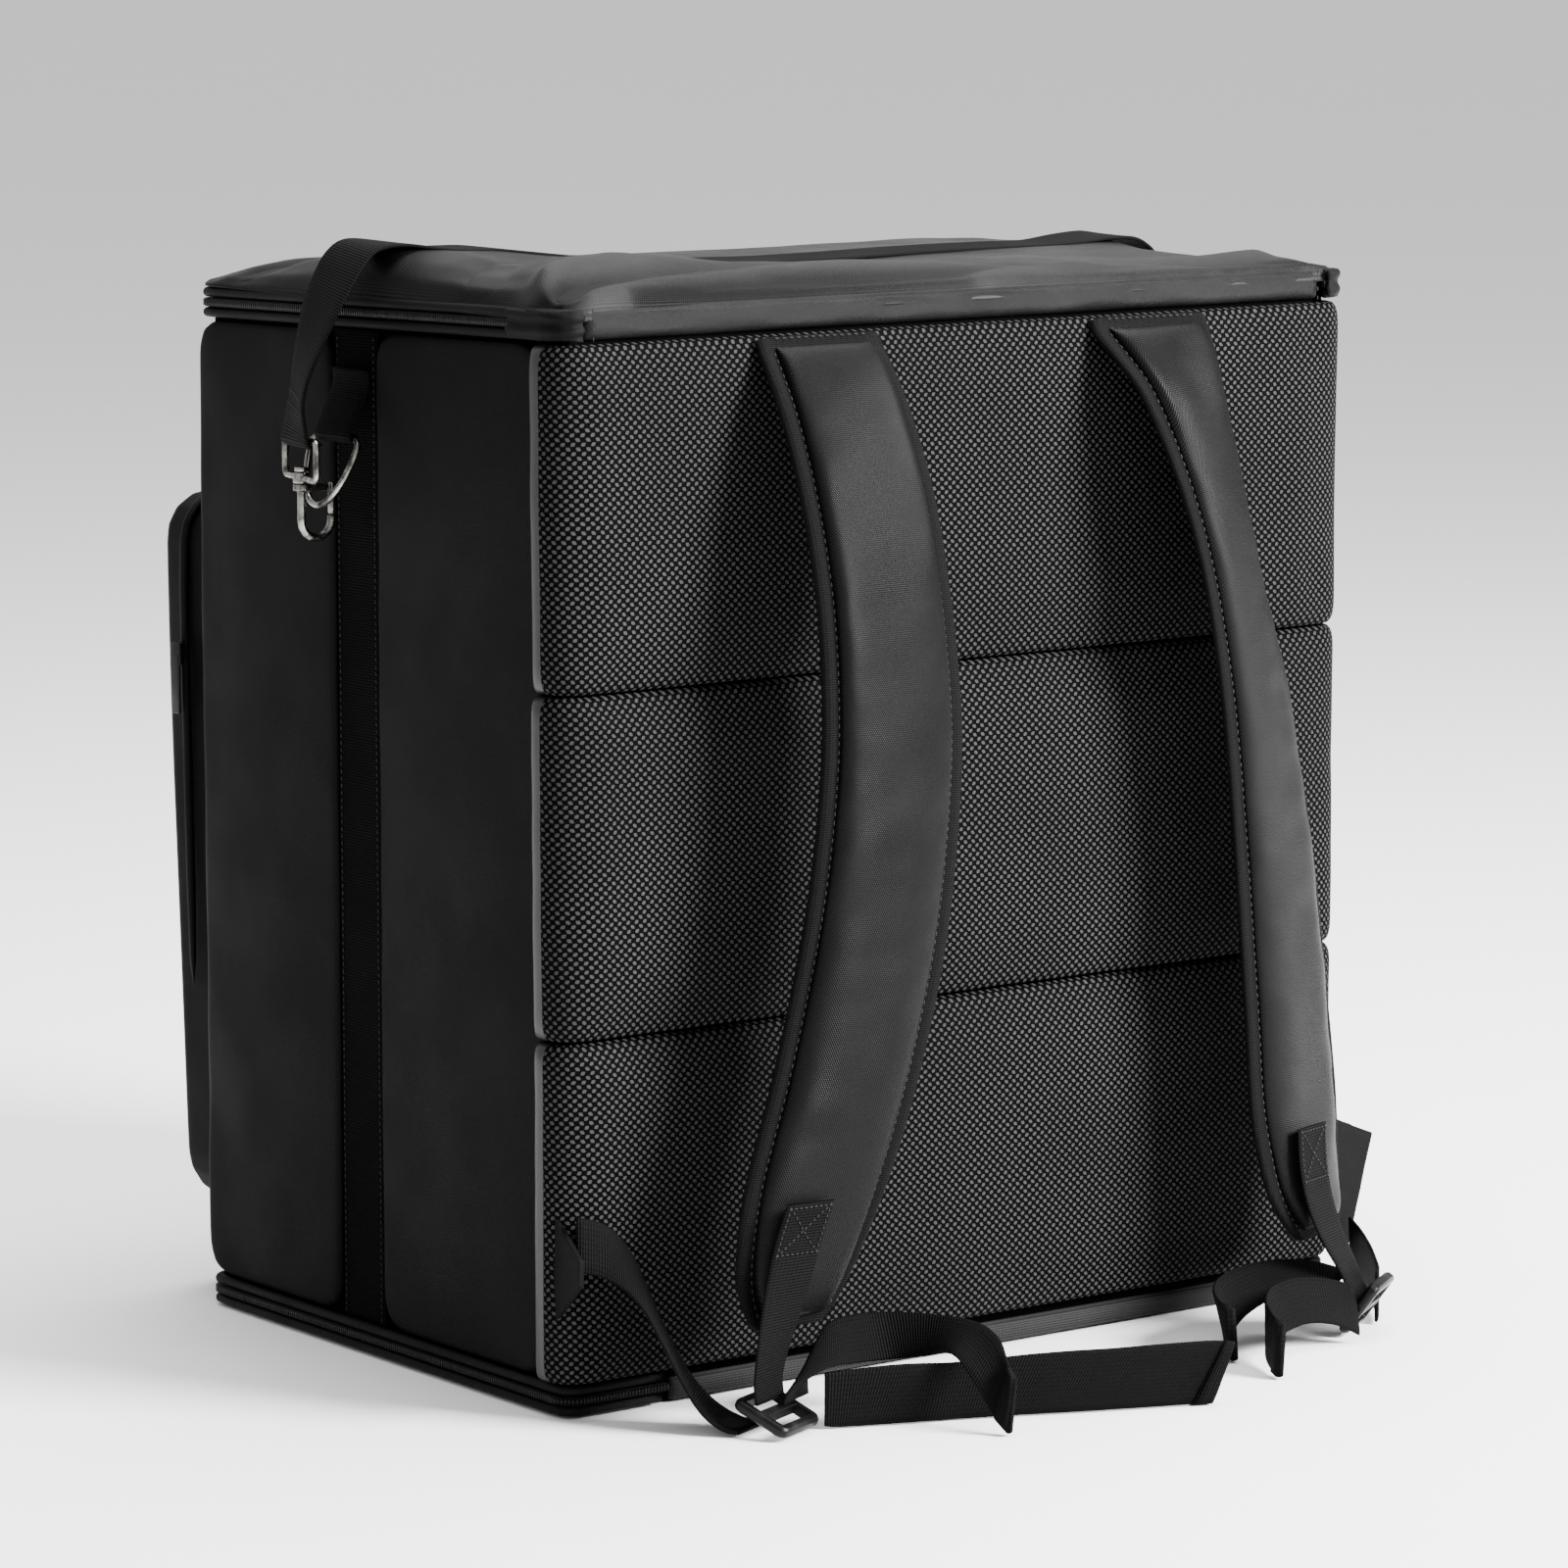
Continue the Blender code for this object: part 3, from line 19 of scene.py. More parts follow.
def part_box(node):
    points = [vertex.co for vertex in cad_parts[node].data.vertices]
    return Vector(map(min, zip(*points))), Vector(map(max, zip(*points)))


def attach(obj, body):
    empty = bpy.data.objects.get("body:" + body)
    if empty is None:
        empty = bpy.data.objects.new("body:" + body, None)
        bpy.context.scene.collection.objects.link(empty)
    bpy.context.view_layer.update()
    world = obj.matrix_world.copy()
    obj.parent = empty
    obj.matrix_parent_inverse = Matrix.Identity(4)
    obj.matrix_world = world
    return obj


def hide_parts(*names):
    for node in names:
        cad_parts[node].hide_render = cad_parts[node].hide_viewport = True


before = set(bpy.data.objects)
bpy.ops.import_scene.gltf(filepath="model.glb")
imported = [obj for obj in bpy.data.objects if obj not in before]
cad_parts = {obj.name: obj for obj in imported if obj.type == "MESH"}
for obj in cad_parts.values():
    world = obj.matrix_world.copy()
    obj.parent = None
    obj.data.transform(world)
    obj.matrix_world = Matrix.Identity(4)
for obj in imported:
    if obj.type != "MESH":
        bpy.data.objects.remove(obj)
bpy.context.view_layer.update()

logging.basicConfig(level=logging.INFO, format="%(message)s")
LOG = logging.getLogger("bag")
Socket = bpy.types.NodeSocket
Colour = tuple[float, float, float]
Place = tuple[float, float, float]
GROUND = 0.0003


class Side(Enum):
    """The two sides of the bag, by the sign of X."""

    LEFT = -1
    RIGHT = 1

    @property
    def word(self) -> str:
        """The side's name as the solids use it."""
        return self.name.lower()


class Weave(Enum):
    """How the threads of a cloth cross."""

    PLAIN = "plain"
    TWILL = "twill"
    RIBBED = "ribbed"


# Finishes


class Graph:
    """A material's node graph, filled by short calls."""

    def __init__(self, name: str) -> None:
        """Start a material.

        Args:
            name: The material's name.
        """
        self.material = bpy.data.materials.new(name)
        self.material.use_nodes = True
        self.tree = self.material.node_tree
        self.shader = self.tree.nodes["Principled BSDF"]
        self.normal: Socket | None = None

    def add(self, kind: str, settings: dict | None = None, **sockets: object) -> bpy.types.Node:
        """Add a node and fill its sockets.

        Args:
            kind: The node's type without its ShaderNode prefix.
            settings: Plain properties to set on the node.
            sockets: Values or sockets by the input's name, with _ for a space.

        Returns:
            The new node.
        """
        node = self.tree.nodes.new("ShaderNode" + kind)
        for name, value in (settings or {}).items():
            setattr(node, name, value)
        for name, value in sockets.items():
            self.feed(node.inputs[name.replace("_", " ")], value)
        return node

    def feed(self, target: Socket, value: object) -> None:
        """Link a socket to a target, or set the target's plain value."""
        if isinstance(value, Socket):
            self.tree.links.new(value, target)
        else:
            target.default_value = value

    def math(self, operation: str, first: object, second: object = None, third: object = None) -> Socket:
        """Add a Math node.

        Args:
            operation: The node's operation.
            first: First value or socket.
            second: Second value or socket, where the operation has one.
            third: Third value or socket, where the operation has one.

        Returns:
            The result's socket.
        """
        node = self.add("Math", {"operation": operation})
        for slot, value in zip(node.inputs, (first, second, third)):
            if value is not None:
                self.feed(slot, value)
        return node.outputs[0]

    def spread(self, value: object, low: float, high: float, to_low: float, to_high: float) -> Socket:
        """Map a value from one range to another, smoothly, and return its socket."""
        node = self.add("MapRange", {"interpolation_type": "SMOOTHSTEP"}, Value=value, From_Min=low,
                        From_Max=high, To_Min=to_low, To_Max=to_high)
        return node.outputs[0]

    def uv(self) -> tuple[Socket, Socket]:
        """The piece's own UV in metres: across, then along."""
        split = self.add("SeparateXYZ", Vector=self.add("UVMap", {"uv_map": "UVMap"}).outputs[0])
        return split.outputs[0], split.outputs[1]

    def place(self) -> Socket:
        """The piece's Object coordinates, which are the bag's own metres."""
        return self.add("TexCoord").outputs["Object"]

    def wave(self, value: Socket, pitch: float) -> Socket:
        """A sine of a length in metres, one turn for each pitch."""
        return self.math("SINE", self.math("MULTIPLY", value, 2 * math.pi / pitch))

    def noise(self, scale: float, detail: float = 3.0, stretch: Place = (1.0, 1.0, 1.0)) -> Socket:
        """Noise over Object coordinates.

        Args:
            scale: Cells per metre.
            detail: Octaves.
            stretch: Scale along each axis.

        Returns:
            The noise's socket, about 0.2 to 0.8.
        """
        moved = self.add("Mapping", Vector=self.place(), Scale=stretch)
        return self.add("TexNoise", Vector=moved.outputs[0], Scale=scale, Detail=detail).outputs[0]

    def mix(self, share: object, low: Colour, high: Colour) -> Socket:
        """Mix two colours by a share, and return the colour's socket."""
        node = self.add("Mix", {"data_type": "RGBA"})
        self.feed(node.inputs[0], share)
        node.inputs[6].default_value = (*low, 1.0)
        node.inputs[7].default_value = (*high, 1.0)
        return node.outputs[2]

    def bump(self, height: Socket, distance: float, strength: float = 1.0) -> None:
        """Lay a bump of a height over those before it."""
        node = self.add("Bump", Height=height, Distance=distance, Strength=strength)
        if self.normal is not None:
            self.feed(node.inputs["Normal"], self.normal)
        self.normal = node.outputs[0]

    def finish(self, colour: object, roughness: object, **plain: float) -> bpy.types.Material:
        """Fill the shader and return the material.

        Args:
            colour: Base colour's socket.
            roughness: Roughness value or socket.
            plain: Plain numbers by the shader's input names, with _ for a space.

        Returns:
            The finished material.
        """
        self.feed(self.shader.inputs["Base Color"], colour)
        self.feed(self.shader.inputs["Roughness"], roughness)
        if self.normal is not None:
            self.feed(self.shader.inputs["Normal"], self.normal)
        for name, value in plain.items():
            self.shader.inputs[name.replace("_", " ")].default_value = value
        return self.material


@dataclass(frozen=True)
class ClothFinish:
    """A woven cloth: threads, soft creases, tone, sheen, and painted shade and light laid on by a fold attribute."""

    dark: Colour
    light: Colour
    weave: Weave
    pitch: float = 0.0009
    relief: float = 0.00012
    crease: float = 0.0007
    roughness: float = 0.72
    sheen: float = 0.25
    specular: float = 0.25
    # Strength of the painted light: the fold attribute darkens crease valleys and lightens ridges and the lit side.
    wear_and_painted_light: float = 0.0

    def threads(self, graph: Graph) -> Socket:
        """The height of the weave over the UV, from -1 to 1."""
        u, v = graph.uv()
        if self.weave is Weave.TWILL:
            slant = graph.math("ADD", u, graph.math("MULTIPLY", v, 0.8))
            return graph.math("ADD", graph.math("MULTIPLY", graph.wave(slant, self.pitch), 0.7),
                              graph.math("MULTIPLY", graph.wave(v, self.pitch * 0.7), 0.3))
        if self.weave is Weave.RIBBED:
            rib = graph.wave(v, self.pitch)
            return graph.math("ADD", graph.math("MULTIPLY", rib, 0.75),
                              graph.math("MULTIPLY", graph.wave(u, self.pitch * 1.6), 0.25))
        return graph.math("MULTIPLY", graph.wave(u, self.pitch), graph.wave(v, self.pitch))

    def material(self, name: str) -> bpy.types.Material:
        """Build the cloth's material.

        Args:
            name: The material's name.

        Returns:
            The material.
        """
        graph = Graph(name)
        threads = self.threads(graph)
        speckle = graph.noise(900.0, 2.0)
        blotch = graph.noise(22.0, 4.0)
        tone = graph.math("ADD", graph.math("MULTIPLY", speckle, 0.45),
                          graph.math("MULTIPLY", blotch, 0.35))
        tone = graph.math("ADD", tone, graph.math("MULTIPLY", threads, 0.22))
        # Painted light: the fold attribute darkens the colour in crease valleys and lightens it on ridges and
        # towards the key lamp.
        if self.wear_and_painted_light:
            fold = graph.add("Attribute", {"attribute_name": "fold"}).outputs["Fac"]
            tone = graph.math("ADD", tone, graph.math("MULTIPLY", fold, self.wear_and_painted_light))
        colour = graph.mix(graph.spread(tone, 0.15, 0.75, 0.0, 1.0), self.dark, self.light)
        graph.bump(graph.noise(26.0, 3.0, (1.0, 1.0, 0.6)), self.crease, 0.6)
        graph.bump(threads, self.relief, 0.8)
        rough = graph.spread(blotch, 0.3, 0.7, self.roughness - 0.06, self.roughness + 0.06)
        return graph.finish(colour, rough, Sheen_Weight=self.sheen, Sheen_Roughness=0.45,
                            Specular_IOR_Level=self.specular)


@dataclass(frozen=True)
class SpacerFinish:
    """Knitted spacer mesh: pale thread cells round dark slanted holes, in staggered rows."""

    thread: Colour
    hole: Colour
    border: Colour
    edge: float = 0.2452
    across: float = 0.0046
    along: float = 0.0042
    relief: float = 0.0014

    def material(self, name: str) -> bpy.types.Material:
        """Build the mesh's material.

        Args:
            name: The material's name.

        Returns:
            The material.
        """
        graph = Graph(name)
        u, v = graph.uv()
        plain = graph.spread(graph.math("ABSOLUTE", u), self.edge, self.edge + 0.0010, 0.0, 1.0)
        wobble = graph.math("MULTIPLY", graph.math("SUBTRACT", graph.noise(60.0, 2.0), 0.5), 0.0012)
        u = graph.math("ADD", u, graph.math("ADD", wobble, graph.math("MULTIPLY", v, 0.06)))
        slant = graph.math("ADD", u, graph.math("MULTIPLY", graph.wave(v, self.along), 0.00025))
        cell = graph.math("MULTIPLY",
                          graph.math("COSINE", graph.math("MULTIPLY", slant, 2 * math.pi / self.across)),
                          graph.math("COSINE", graph.math("MULTIPLY", v, 2 * math.pi / self.along)))
        body = graph.spread(cell, -0.38, 0.02, 1.0, 0.0)
        speckle = graph.noise(1400.0, 2.0)
        wear_and_painted_light = graph.noise(14.0, 3.0)
        lit = graph.math("MULTIPLY", body, graph.spread(speckle, 0.2, 0.8, 0.72, 1.0))
        lit = graph.math("MULTIPLY", lit, graph.spread(wear_and_painted_light, 0.3, 0.7, 0.82, 1.0))
        colour = graph.mix(lit, self.hole, self.thread)
        cover = graph.mix(plain, (0.0, 0.0, 0.0), self.border)
        picked = graph.add("Mix", {"data_type": "RGBA"})
        for socket, value in zip((picked.inputs[0], picked.inputs[6], picked.inputs[7]), (plain, colour, cover)):
            graph.feed(socket, value)
        height = graph.math("MULTIPLY", body, graph.math("SUBTRACT", 1.0, plain))
        graph.bump(height, self.relief, 0.9)
        graph.feed(graph.shader.inputs["Specular IOR Level"], graph.spread(plain, 0.0, 1.0, 0.03, 0.40))
        return graph.finish(picked.outputs[2], graph.spread(plain, 0.0, 1.0, 0.80, 0.40), Sheen_Weight=0.0)


@dataclass(frozen=True)
class PlasticFinish:
    """Moulded plastic with a fine grain and small scuffs."""

    colour: Colour
    roughness: float = 0.38

    def material(self, name: str) -> bpy.types.Material:
        """Build the plastic's material and return it."""
        graph = Graph(name)
        grain = graph.noise(700.0, 2.0)
        scuff = graph.noise(80.0, 5.0)
        paler = tuple(min(part * 1.7 + 0.004, 1.0) for part in self.colour)
        colour = graph.mix(graph.spread(scuff, 0.5, 0.75, 0.0, 1.0), self.colour, paler)
        graph.bump(grain, 0.00006, 0.6)
        rough = graph.spread(scuff, 0.3, 0.7, self.roughness - 0.08, self.roughness + 0.12)
        return graph.finish(colour, rough, Specular_IOR_Level=0.12)


@dataclass(frozen=True)
class MetalFinish:
    """Plated metal with fine drawn scratches and duller patches."""

    bright: Colour
    dull: Colour
    roughness: float = 0.24

    def material(self, name: str) -> bpy.types.Material:
        """Build the metal's material and return it."""
        graph = Graph(name)
        scratch = graph.noise(900.0, 3.0, (1.0, 1.0, 0.12))
        patch = graph.noise(160.0, 3.0)
        colour = graph.mix(graph.spread(patch, 0.35, 0.7, 0.0, 1.0), self.bright, self.dull)
        graph.bump(scratch, 0.00003, 0.5)
        rough = graph.spread(patch, 0.3, 0.7, self.roughness - 0.06, self.roughness + 0.14)
        return graph.finish(colour, rough, Metallic=1.0)


@dataclass(frozen=True)
class FloorFinish:
    """The pale studio floor, with a barely seen unevenness."""

    colour: Colour = (0.86, 0.86, 0.86)

    def material(self, name: str) -> bpy.types.Material:
        """Build the floor's material and return it."""
        graph = Graph(name)
        shade = tuple(part * 0.985 for part in self.colour)
        return graph.finish(graph.mix(graph.noise(3.0, 2.0), shade, self.colour), 0.9,
                            Specular_IOR_Level=0.1)


PADDED = ClothFinish((0.0014, 0.0014, 0.0016), (0.0042, 0.0042, 0.0046), Weave.PLAIN, 0.0010, 0.00010, 0.0009,
                     roughness=0.55, sheen=0.0, specular=0.035)
# The lid's cloth is the padded cloth with a much paler light tone: a painted top-light sheen, which the fold
# attribute lays on ridges and the lit side.
LID_CLOTH_PAINTED_LIGHT = ClothFinish((0.0012, 0.0012, 0.0014), (0.0150, 0.0150, 0.0155), Weave.PLAIN, 0.0010, 0.00010, 0.0008,
                        roughness=0.36, sheen=0.0, specular=0.045, wear_and_painted_light=0.40)
LINER = ClothFinish((0.0005, 0.0005, 0.0006), (0.0013, 0.0013, 0.0014), Weave.PLAIN, 0.0010, 0.00008, 0.0002,
                    sheen=0.0, specular=0.01)
STRIP = ClothFinish((0.0005, 0.0005, 0.0006), (0.0018, 0.0018, 0.0020), Weave.RIBBED, 0.0014, 0.00018, 0.0003,
                    sheen=0.0, specular=0.02)
STRAP_CLOTH = ClothFinish((0.0020, 0.0020, 0.0022), (0.0044, 0.0044, 0.0047), Weave.TWILL, 0.0013, 0.00010,
                          0.0007, roughness=0.38, sheen=0.0, specular=0.050)
BINDING = ClothFinish((0.0006, 0.0006, 0.0007), (0.0042, 0.0042, 0.0045), Weave.RIBBED, 0.0011, 0.00016, 0.0003,
                      sheen=0.0, specular=0.04)
WEBBING = ClothFinish((0.0005, 0.0005, 0.0006), (0.0036, 0.0036, 0.0039), Weave.RIBBED, 0.0014, 0.00024, 0.0003,
                      sheen=0.0, specular=0.04)
TRIM = ClothFinish((0.0050, 0.0050, 0.0052), (0.0170, 0.0170, 0.0175), Weave.RIBBED, 0.0012, 0.00016, 0.0003,
                   sheen=0.0, specular=0.10)
PIPING = ClothFinish((0.0005, 0.0005, 0.0006), (0.0022, 0.0022, 0.0024), Weave.PLAIN, 0.0010, 0.00010, 0.0003,
                     roughness=0.5, sheen=0.0, specular=0.06)
THREAD = ClothFinish((0.0060, 0.0060, 0.0064), (0.0210, 0.0210, 0.0220), Weave.TWILL, 0.0008, 0.00005, 0.0,
                     sheen=0.0, specular=0.12)
SPACER = SpacerFinish((0.035, 0.035, 0.036), (0.00005, 0.00005, 0.00006), PADDED.light)
PLASTIC = PlasticFinish((0.0016, 0.0016, 0.0018))
METAL = MetalFinish((0.30, 0.29, 0.27), (0.045, 0.043, 0.039), 0.22)
FLOOR = FloorFinish()


class Wardrobe:
    """Each finish's one material, built when it is first asked for."""

    made: dict[object, bpy.types.Material] = {}

    @classmethod
    def of(cls, finish: object, name: str) -> bpy.types.Material:
        """The material of a finish, under a plain name."""
        if finish not in cls.made:
            cls.made[finish] = finish.material(name)
        return cls.made[finish]


# Mesh helpers


@dataclass(frozen=True)
class Piece:
    """How a finished mesh joins the bag."""

    name: str
    finish: object
    finish_name: str
    slot: str
    replaces: tuple[str, ...] = ()
    body: str = "bag"
    fill: float | None = None

    def join(self, item: bpy.types.Object) -> bpy.types.Object:
        """Dress an object, hang it on its body, hide the solids it stands for, and report it.

        Args:
            item: The finished object at the origin.

        Returns:
            The same object.
        """
        item.name = self.name
        item.data.name = self.name
        item.data.materials.clear()
        item.data.materials.append(Wardrobe.of(self.finish, self.finish_name))
        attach(item, self.body)
        if self.replaces:
            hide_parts(*self.replaces)
        LOG.info("%s: %d faces", self.name, len(item.data.polygons))
        return item


def mesh_object(name: str, points: Sequence[Vector], faces: Sequence[Sequence[int]],
                uvs: Sequence[tuple[float, float]] | None = None) -> bpy.types.Object:
    """Make an object from points and faces, shaded smooth.

    Args:
        name: The object's name.
        points: Vertex places.
        faces: Vertex numbers of each face.
        uvs: A UV for each vertex, in metres.

    Returns:
        The object, linked to the scene.
    """
    mesh = bpy.data.meshes.new(name)
    mesh.from_pydata([tuple(point) for point in points], [], [tuple(face) for face in faces])
    if uvs is not None:
        layer = mesh.uv_layers.new(name="UVMap")
        for loop in mesh.loops:
            layer.data[loop.index].uv = uvs[loop.vertex_index]
    mesh.shade_smooth()
    item = bpy.data.objects.new(name, mesh)
    bpy.context.scene.collection.objects.link(item)
    return item


def plain_mesh(item: bpy.types.Object) -> bpy.types.Object:
    """Swap an object's data for its evaluated mesh and drop its modifiers.

    Args:
        item: The object to bake.

    Returns:
        The same object.
    """
    bpy.context.view_layer.update()
    mesh = bpy.data.meshes.new_from_object(item.evaluated_get(bpy.context.evaluated_depsgraph_get()))
    item.modifiers.clear()
    item.data = mesh
    mesh.shade_smooth()
    return item


def subdivide(item: bpy.types.Object, levels: int = 1) -> bpy.types.Object:
    """Smooth an object by subdivision and bake it."""
    step = item.modifiers.new("smooth", "SUBSURF")
    step.levels = levels
    step.render_levels = levels
    return plain_mesh(item)


def outward(item: bpy.types.Object) -> bpy.types.Object:
    """Turn a closed mesh's faces outwards."""
    shape = bmesh.new()
    shape.from_mesh(item.data)
    bmesh.ops.recalc_face_normals(shape, faces=shape.faces)
    shape.to_mesh(item.data)
    shape.free()
    return item


def inflate(item: bpy.types.Object, pinned: Sequence[int], cap: float, pressure: float = 4.0) -> None:
    """Swell a padded piece with a short cloth simulation, then keep the result.

    Args:
        item: The piece, a closed mesh.
        pinned: Vertices that are sewn down.
        cap: How far a point may move.
        pressure: Inner pressure.
    """
    group = item.vertex_groups.new(name="sewn")
    group.add(list(pinned), 1.0, "REPLACE")
    start = np.array([vert.co for vert in item.data.vertices], float)
    cloth = item.modifiers.new("cloth", "CLOTH")
    cloth.settings.effector_weights.gravity = 0.0
    cloth.settings.use_pressure = True
    cloth.settings.uniform_pressure_force = pressure
    cloth.settings.vertex_group_mass = "sewn"
    cloth.settings.quality = 5
    cloth.settings.bending_stiffness = 2.0
    cloth.point_cache.frame_start = 1
    cloth.point_cache.frame_end = 20
    for step in range(1, 21):
        bpy.context.scene.frame_set(step)
    shape = item.evaluated_get(bpy.context.evaluated_depsgraph_get())
    moved = np.array([vert.co for vert in shape.data.vertices], float)
    item.modifiers.clear()
    item.vertex_groups.clear()
    bpy.context.scene.frame_set(1)
    step = moved - start
    length = np.linalg.norm(step, axis=1, keepdims=True)
    step *= np.minimum(1.0, cap / np.maximum(length, 1e-9))
    item.data.vertices.foreach_set("co", (start + step).astype(np.float32).ravel())
    item.data.update()


def closed_pad(name: str, columns: Sequence[float], rows: Sequence[float],
               spot: Callable[[float, float, bool], Vector]) -> tuple[bpy.types.Object, list[int]]:
    """A closed pad between an outer and an inner surface.

    Args:
        name: The object's name.
        columns: Places across, in metres.
        rows: Places along, in metres.
        spot: Gives the place for a column, a row and whether it is on the outer surface.

    Returns:
        The object and the numbers of its inner vertices.
    """
    wide, tall = len(columns), len(rows)
    points, uvs = [], []
    for is_outer in (True, False):
        for row in rows:
            for column in columns:
                points.append(spot(column, row, is_outer))
                uvs.append((column, row))
    faces = []
    back = wide * tall
    for j in range(tall - 1):
        for i in range(wide - 1):
            a = j * wide + i
            faces.append((a, a + 1, a + wide + 1, a + wide))
            faces.append((back + a, back + a + wide, back + a + wide + 1, back + a + 1))
    rim = [i for i in range(wide)] + [j * wide + wide - 1 for j in range(1, tall)]
    rim += [(tall - 1) * wide + i for i in range(wide - 2, -1, -1)] + [j * wide for j in range(tall - 2, 0, -1)]
    for a, b in zip(rim, rim[1:] + rim[:1]):
        faces.append((a, back + a, back + b, b))
    item = outward(mesh_object(name, points, faces, uvs))
    return item, list(range(back, 2 * back)) + rim


def spaced(low: float, high: float, step: float) -> list[float]:
    """Evenly spaced numbers from low to high, about a step apart."""
    count = max(round((high - low) / step), 1)
    return [low + (high - low) * index / count for index in range(count + 1)]


def rounded_corner(u: float, v: float, half_u: float, half_v: float, radius: float) -> tuple[float, float]:
    """Pull a point of a rectangle's corner in to the corner's arc."""
    over_u = abs(u) - (half_u - radius)
    over_v = abs(v) - (half_v - radius)
    if over_u <= 0 or over_v <= 0:
        return u, v
    scale = max(over_u, over_v) / math.hypot(over_u, over_v)
    return (math.copysign(half_u - radius + over_u * scale, u),
            math.copysign(half_v - radius + over_v * scale, v))


def node_copy(node: str) -> bpy.types.Object:
    """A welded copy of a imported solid, with its triangles joined to quads."""
    shape = bmesh.new()
    shape.from_mesh(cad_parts[node].data)
    bmesh.ops.remove_doubles(shape, verts=shape.verts, dist=1e-5)
    bmesh.ops.join_triangles(shape, faces=shape.faces, angle_face_threshold=0.6, angle_shape_threshold=3.0)
    mesh = bpy.data.meshes.new(node)
    shape.to_mesh(mesh)
    shape.free()
    mesh.shade_smooth()
    item = bpy.data.objects.new(node, mesh)
    bpy.context.scene.collection.objects.link(item)
    return item


def add_box_uv(item: bpy.types.Object) -> bpy.types.Object:
    """Give a mesh a UV in metres: each face is laid flat along its main axis."""
    mesh = item.data
    layer = mesh.uv_layers.get("UVMap") or mesh.uv_layers.new(name="UVMap")
    for face in mesh.polygons:
        normal = [abs(part) for part in face.normal]
        axis = normal.index(max(normal))
        for index in face.loop_indices:
            co = mesh.vertices[mesh.loops[index].vertex_index].co
            layer.data[index].uv = ((co.y, co.z), (co.x, co.z), (co.x, co.y))[axis]
    return item


@dataclass
class Section:
    """One section of a strap: its centre, unit vectors across and out, and half its width."""

    centre: Vector
    across: Vector
    out: Vector
    half: float


def rings_from(node: str, count: int, start: Callable[[bmesh.types.BMesh], set]) -> list[list[Vector]]:
    """Read a lofted solid's rings, one layer of edges after another.

    Args:
        node: The solid's name.
        count: Points in a full ring; a flat part of a strap has four.
        start: Picks the first ring's vertices.

    Returns:
        The rings from that end to the other.
    """
    shape = bmesh.new()
    shape.from_mesh(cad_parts[node].data)
    bmesh.ops.remove_doubles(shape, verts=shape.verts, dist=1e-5)
    layer = start(shape)
    seen = set(layer)
    rings = []
    while layer:
        rings.append([vert.co.copy() for vert in layer])
        following = {edge.other_vert(vert) for vert in layer for edge in vert.link_edges} - seen
        seen |= following
        layer = following
    shape.free()
    return [ring for ring in rings if len(ring) in (count, 4)]


def webbing_end(width: float, thickness: float) -> Callable[[bmesh.types.BMesh], set]:
    """Give a picker of a flat webbing's cut end, by the size of its two triangles."""

    def pick(shape: bmesh.types.BMesh) -> set:
        """The four vertices of the first cut end."""
        shape.verts.ensure_lookup_table()
        ends = []
        for face in shape.faces:
            sides = sorted(edge.calc_length() for edge in face.edges)
            if abs(sides[0] - thickness) < thickness * 0.2 and abs(sides[1] - width) < width * 0.03:
                ends.append(face)
        first = ends[0]
        mate = next(face for face in ends[1:] if len(set(face.verts) & set(first.verts)) == 2)
        return set(first.verts) | set(mate.verts)

    return pick


def lowest_end(count: int) -> Callable[[bmesh.types.BMesh], set]:
    """Give a picker of the lowest vertices, as many as a ring has."""
    return lambda shape: set(sorted(shape.verts, key=lambda vert: vert.co.z)[:count])


def read_sections(rings: Sequence[Sequence[Vector]], outside: Vector | None = None) -> list[Section]:
    """Turn rings into sections whose directions agree from one to the next.

    Args:
        rings: The rings' points.
        outside: A direction that the first section's out vector leans to.

    Returns:
        The sections.
    """
    centres = [sum(ring, Vector()) / len(ring) for ring in rings]
    sections: list[Section] = []
    for index, (ring, centre) in enumerate(zip(rings, centres)):
        spread = np.array([point - centre for point in ring], float)
        axes = np.linalg.svd(spread, full_matrices=False)[2]
        across = Vector(axes[0])
        run = centres[min(index + 1, len(centres) - 1)] - centres[max(index - 1, 0)]
        run -= across * run.dot(across)
        run.normalize()
        if sections and across.dot(sections[-1].across) < 0:
            across.negate()
        out = run.cross(across).normalized()
        wanted = sections[-1].out if sections else (outside or out)
        if out.dot(wanted) < 0:
            out.negate()
        sections.append(Section(centre, across, out, max(abs(float(p @ np.array(across))) for p in spread)))
    return sections


def smooth_sections(sections: Sequence[Section], step: float) -> list[tuple[Section, float]]:
    """Read a smooth curve through sections at about a step, each with its length along.

    Args:
        sections: The sections in order.
        step: Wanted distance between the new sections.

    Returns:
        Pairs of a section and its length along the strap.
    """
    result: list[tuple[Section, float]] = []
    travelled = 0.0
    last = len(sections) - 1
    for index in range(last):
        four = [sections[min(max(index + shift, 0), last)] for shift in (-1, 0, 1, 2)]
        count = max(round((four[2].centre - four[1].centre).length / step), 1)
        for part in range(count + (index == last - 1)):
            t = part / count
            weights = (-0.5 * t + t**2 - 0.5 * t**3, 1 - 2.5 * t**2 + 1.5 * t**3,
                       0.5 * t + 2 * t**2 - 1.5 * t**3, -0.5 * t**2 + 0.5 * t**3)
            centre, across, out = Vector(), Vector(), Vector()
            half = 0.0
            for weight, section in zip(weights, four):
                centre += section.centre * weight
                across += section.across * weight
                out += section.out * weight
                half += section.half * weight
            made = Section(centre, across.normalized(), out.normalized(), half)
            if result:
                travelled += (centre - result[-1][0].centre).length
            result.append((made, travelled))
    return result


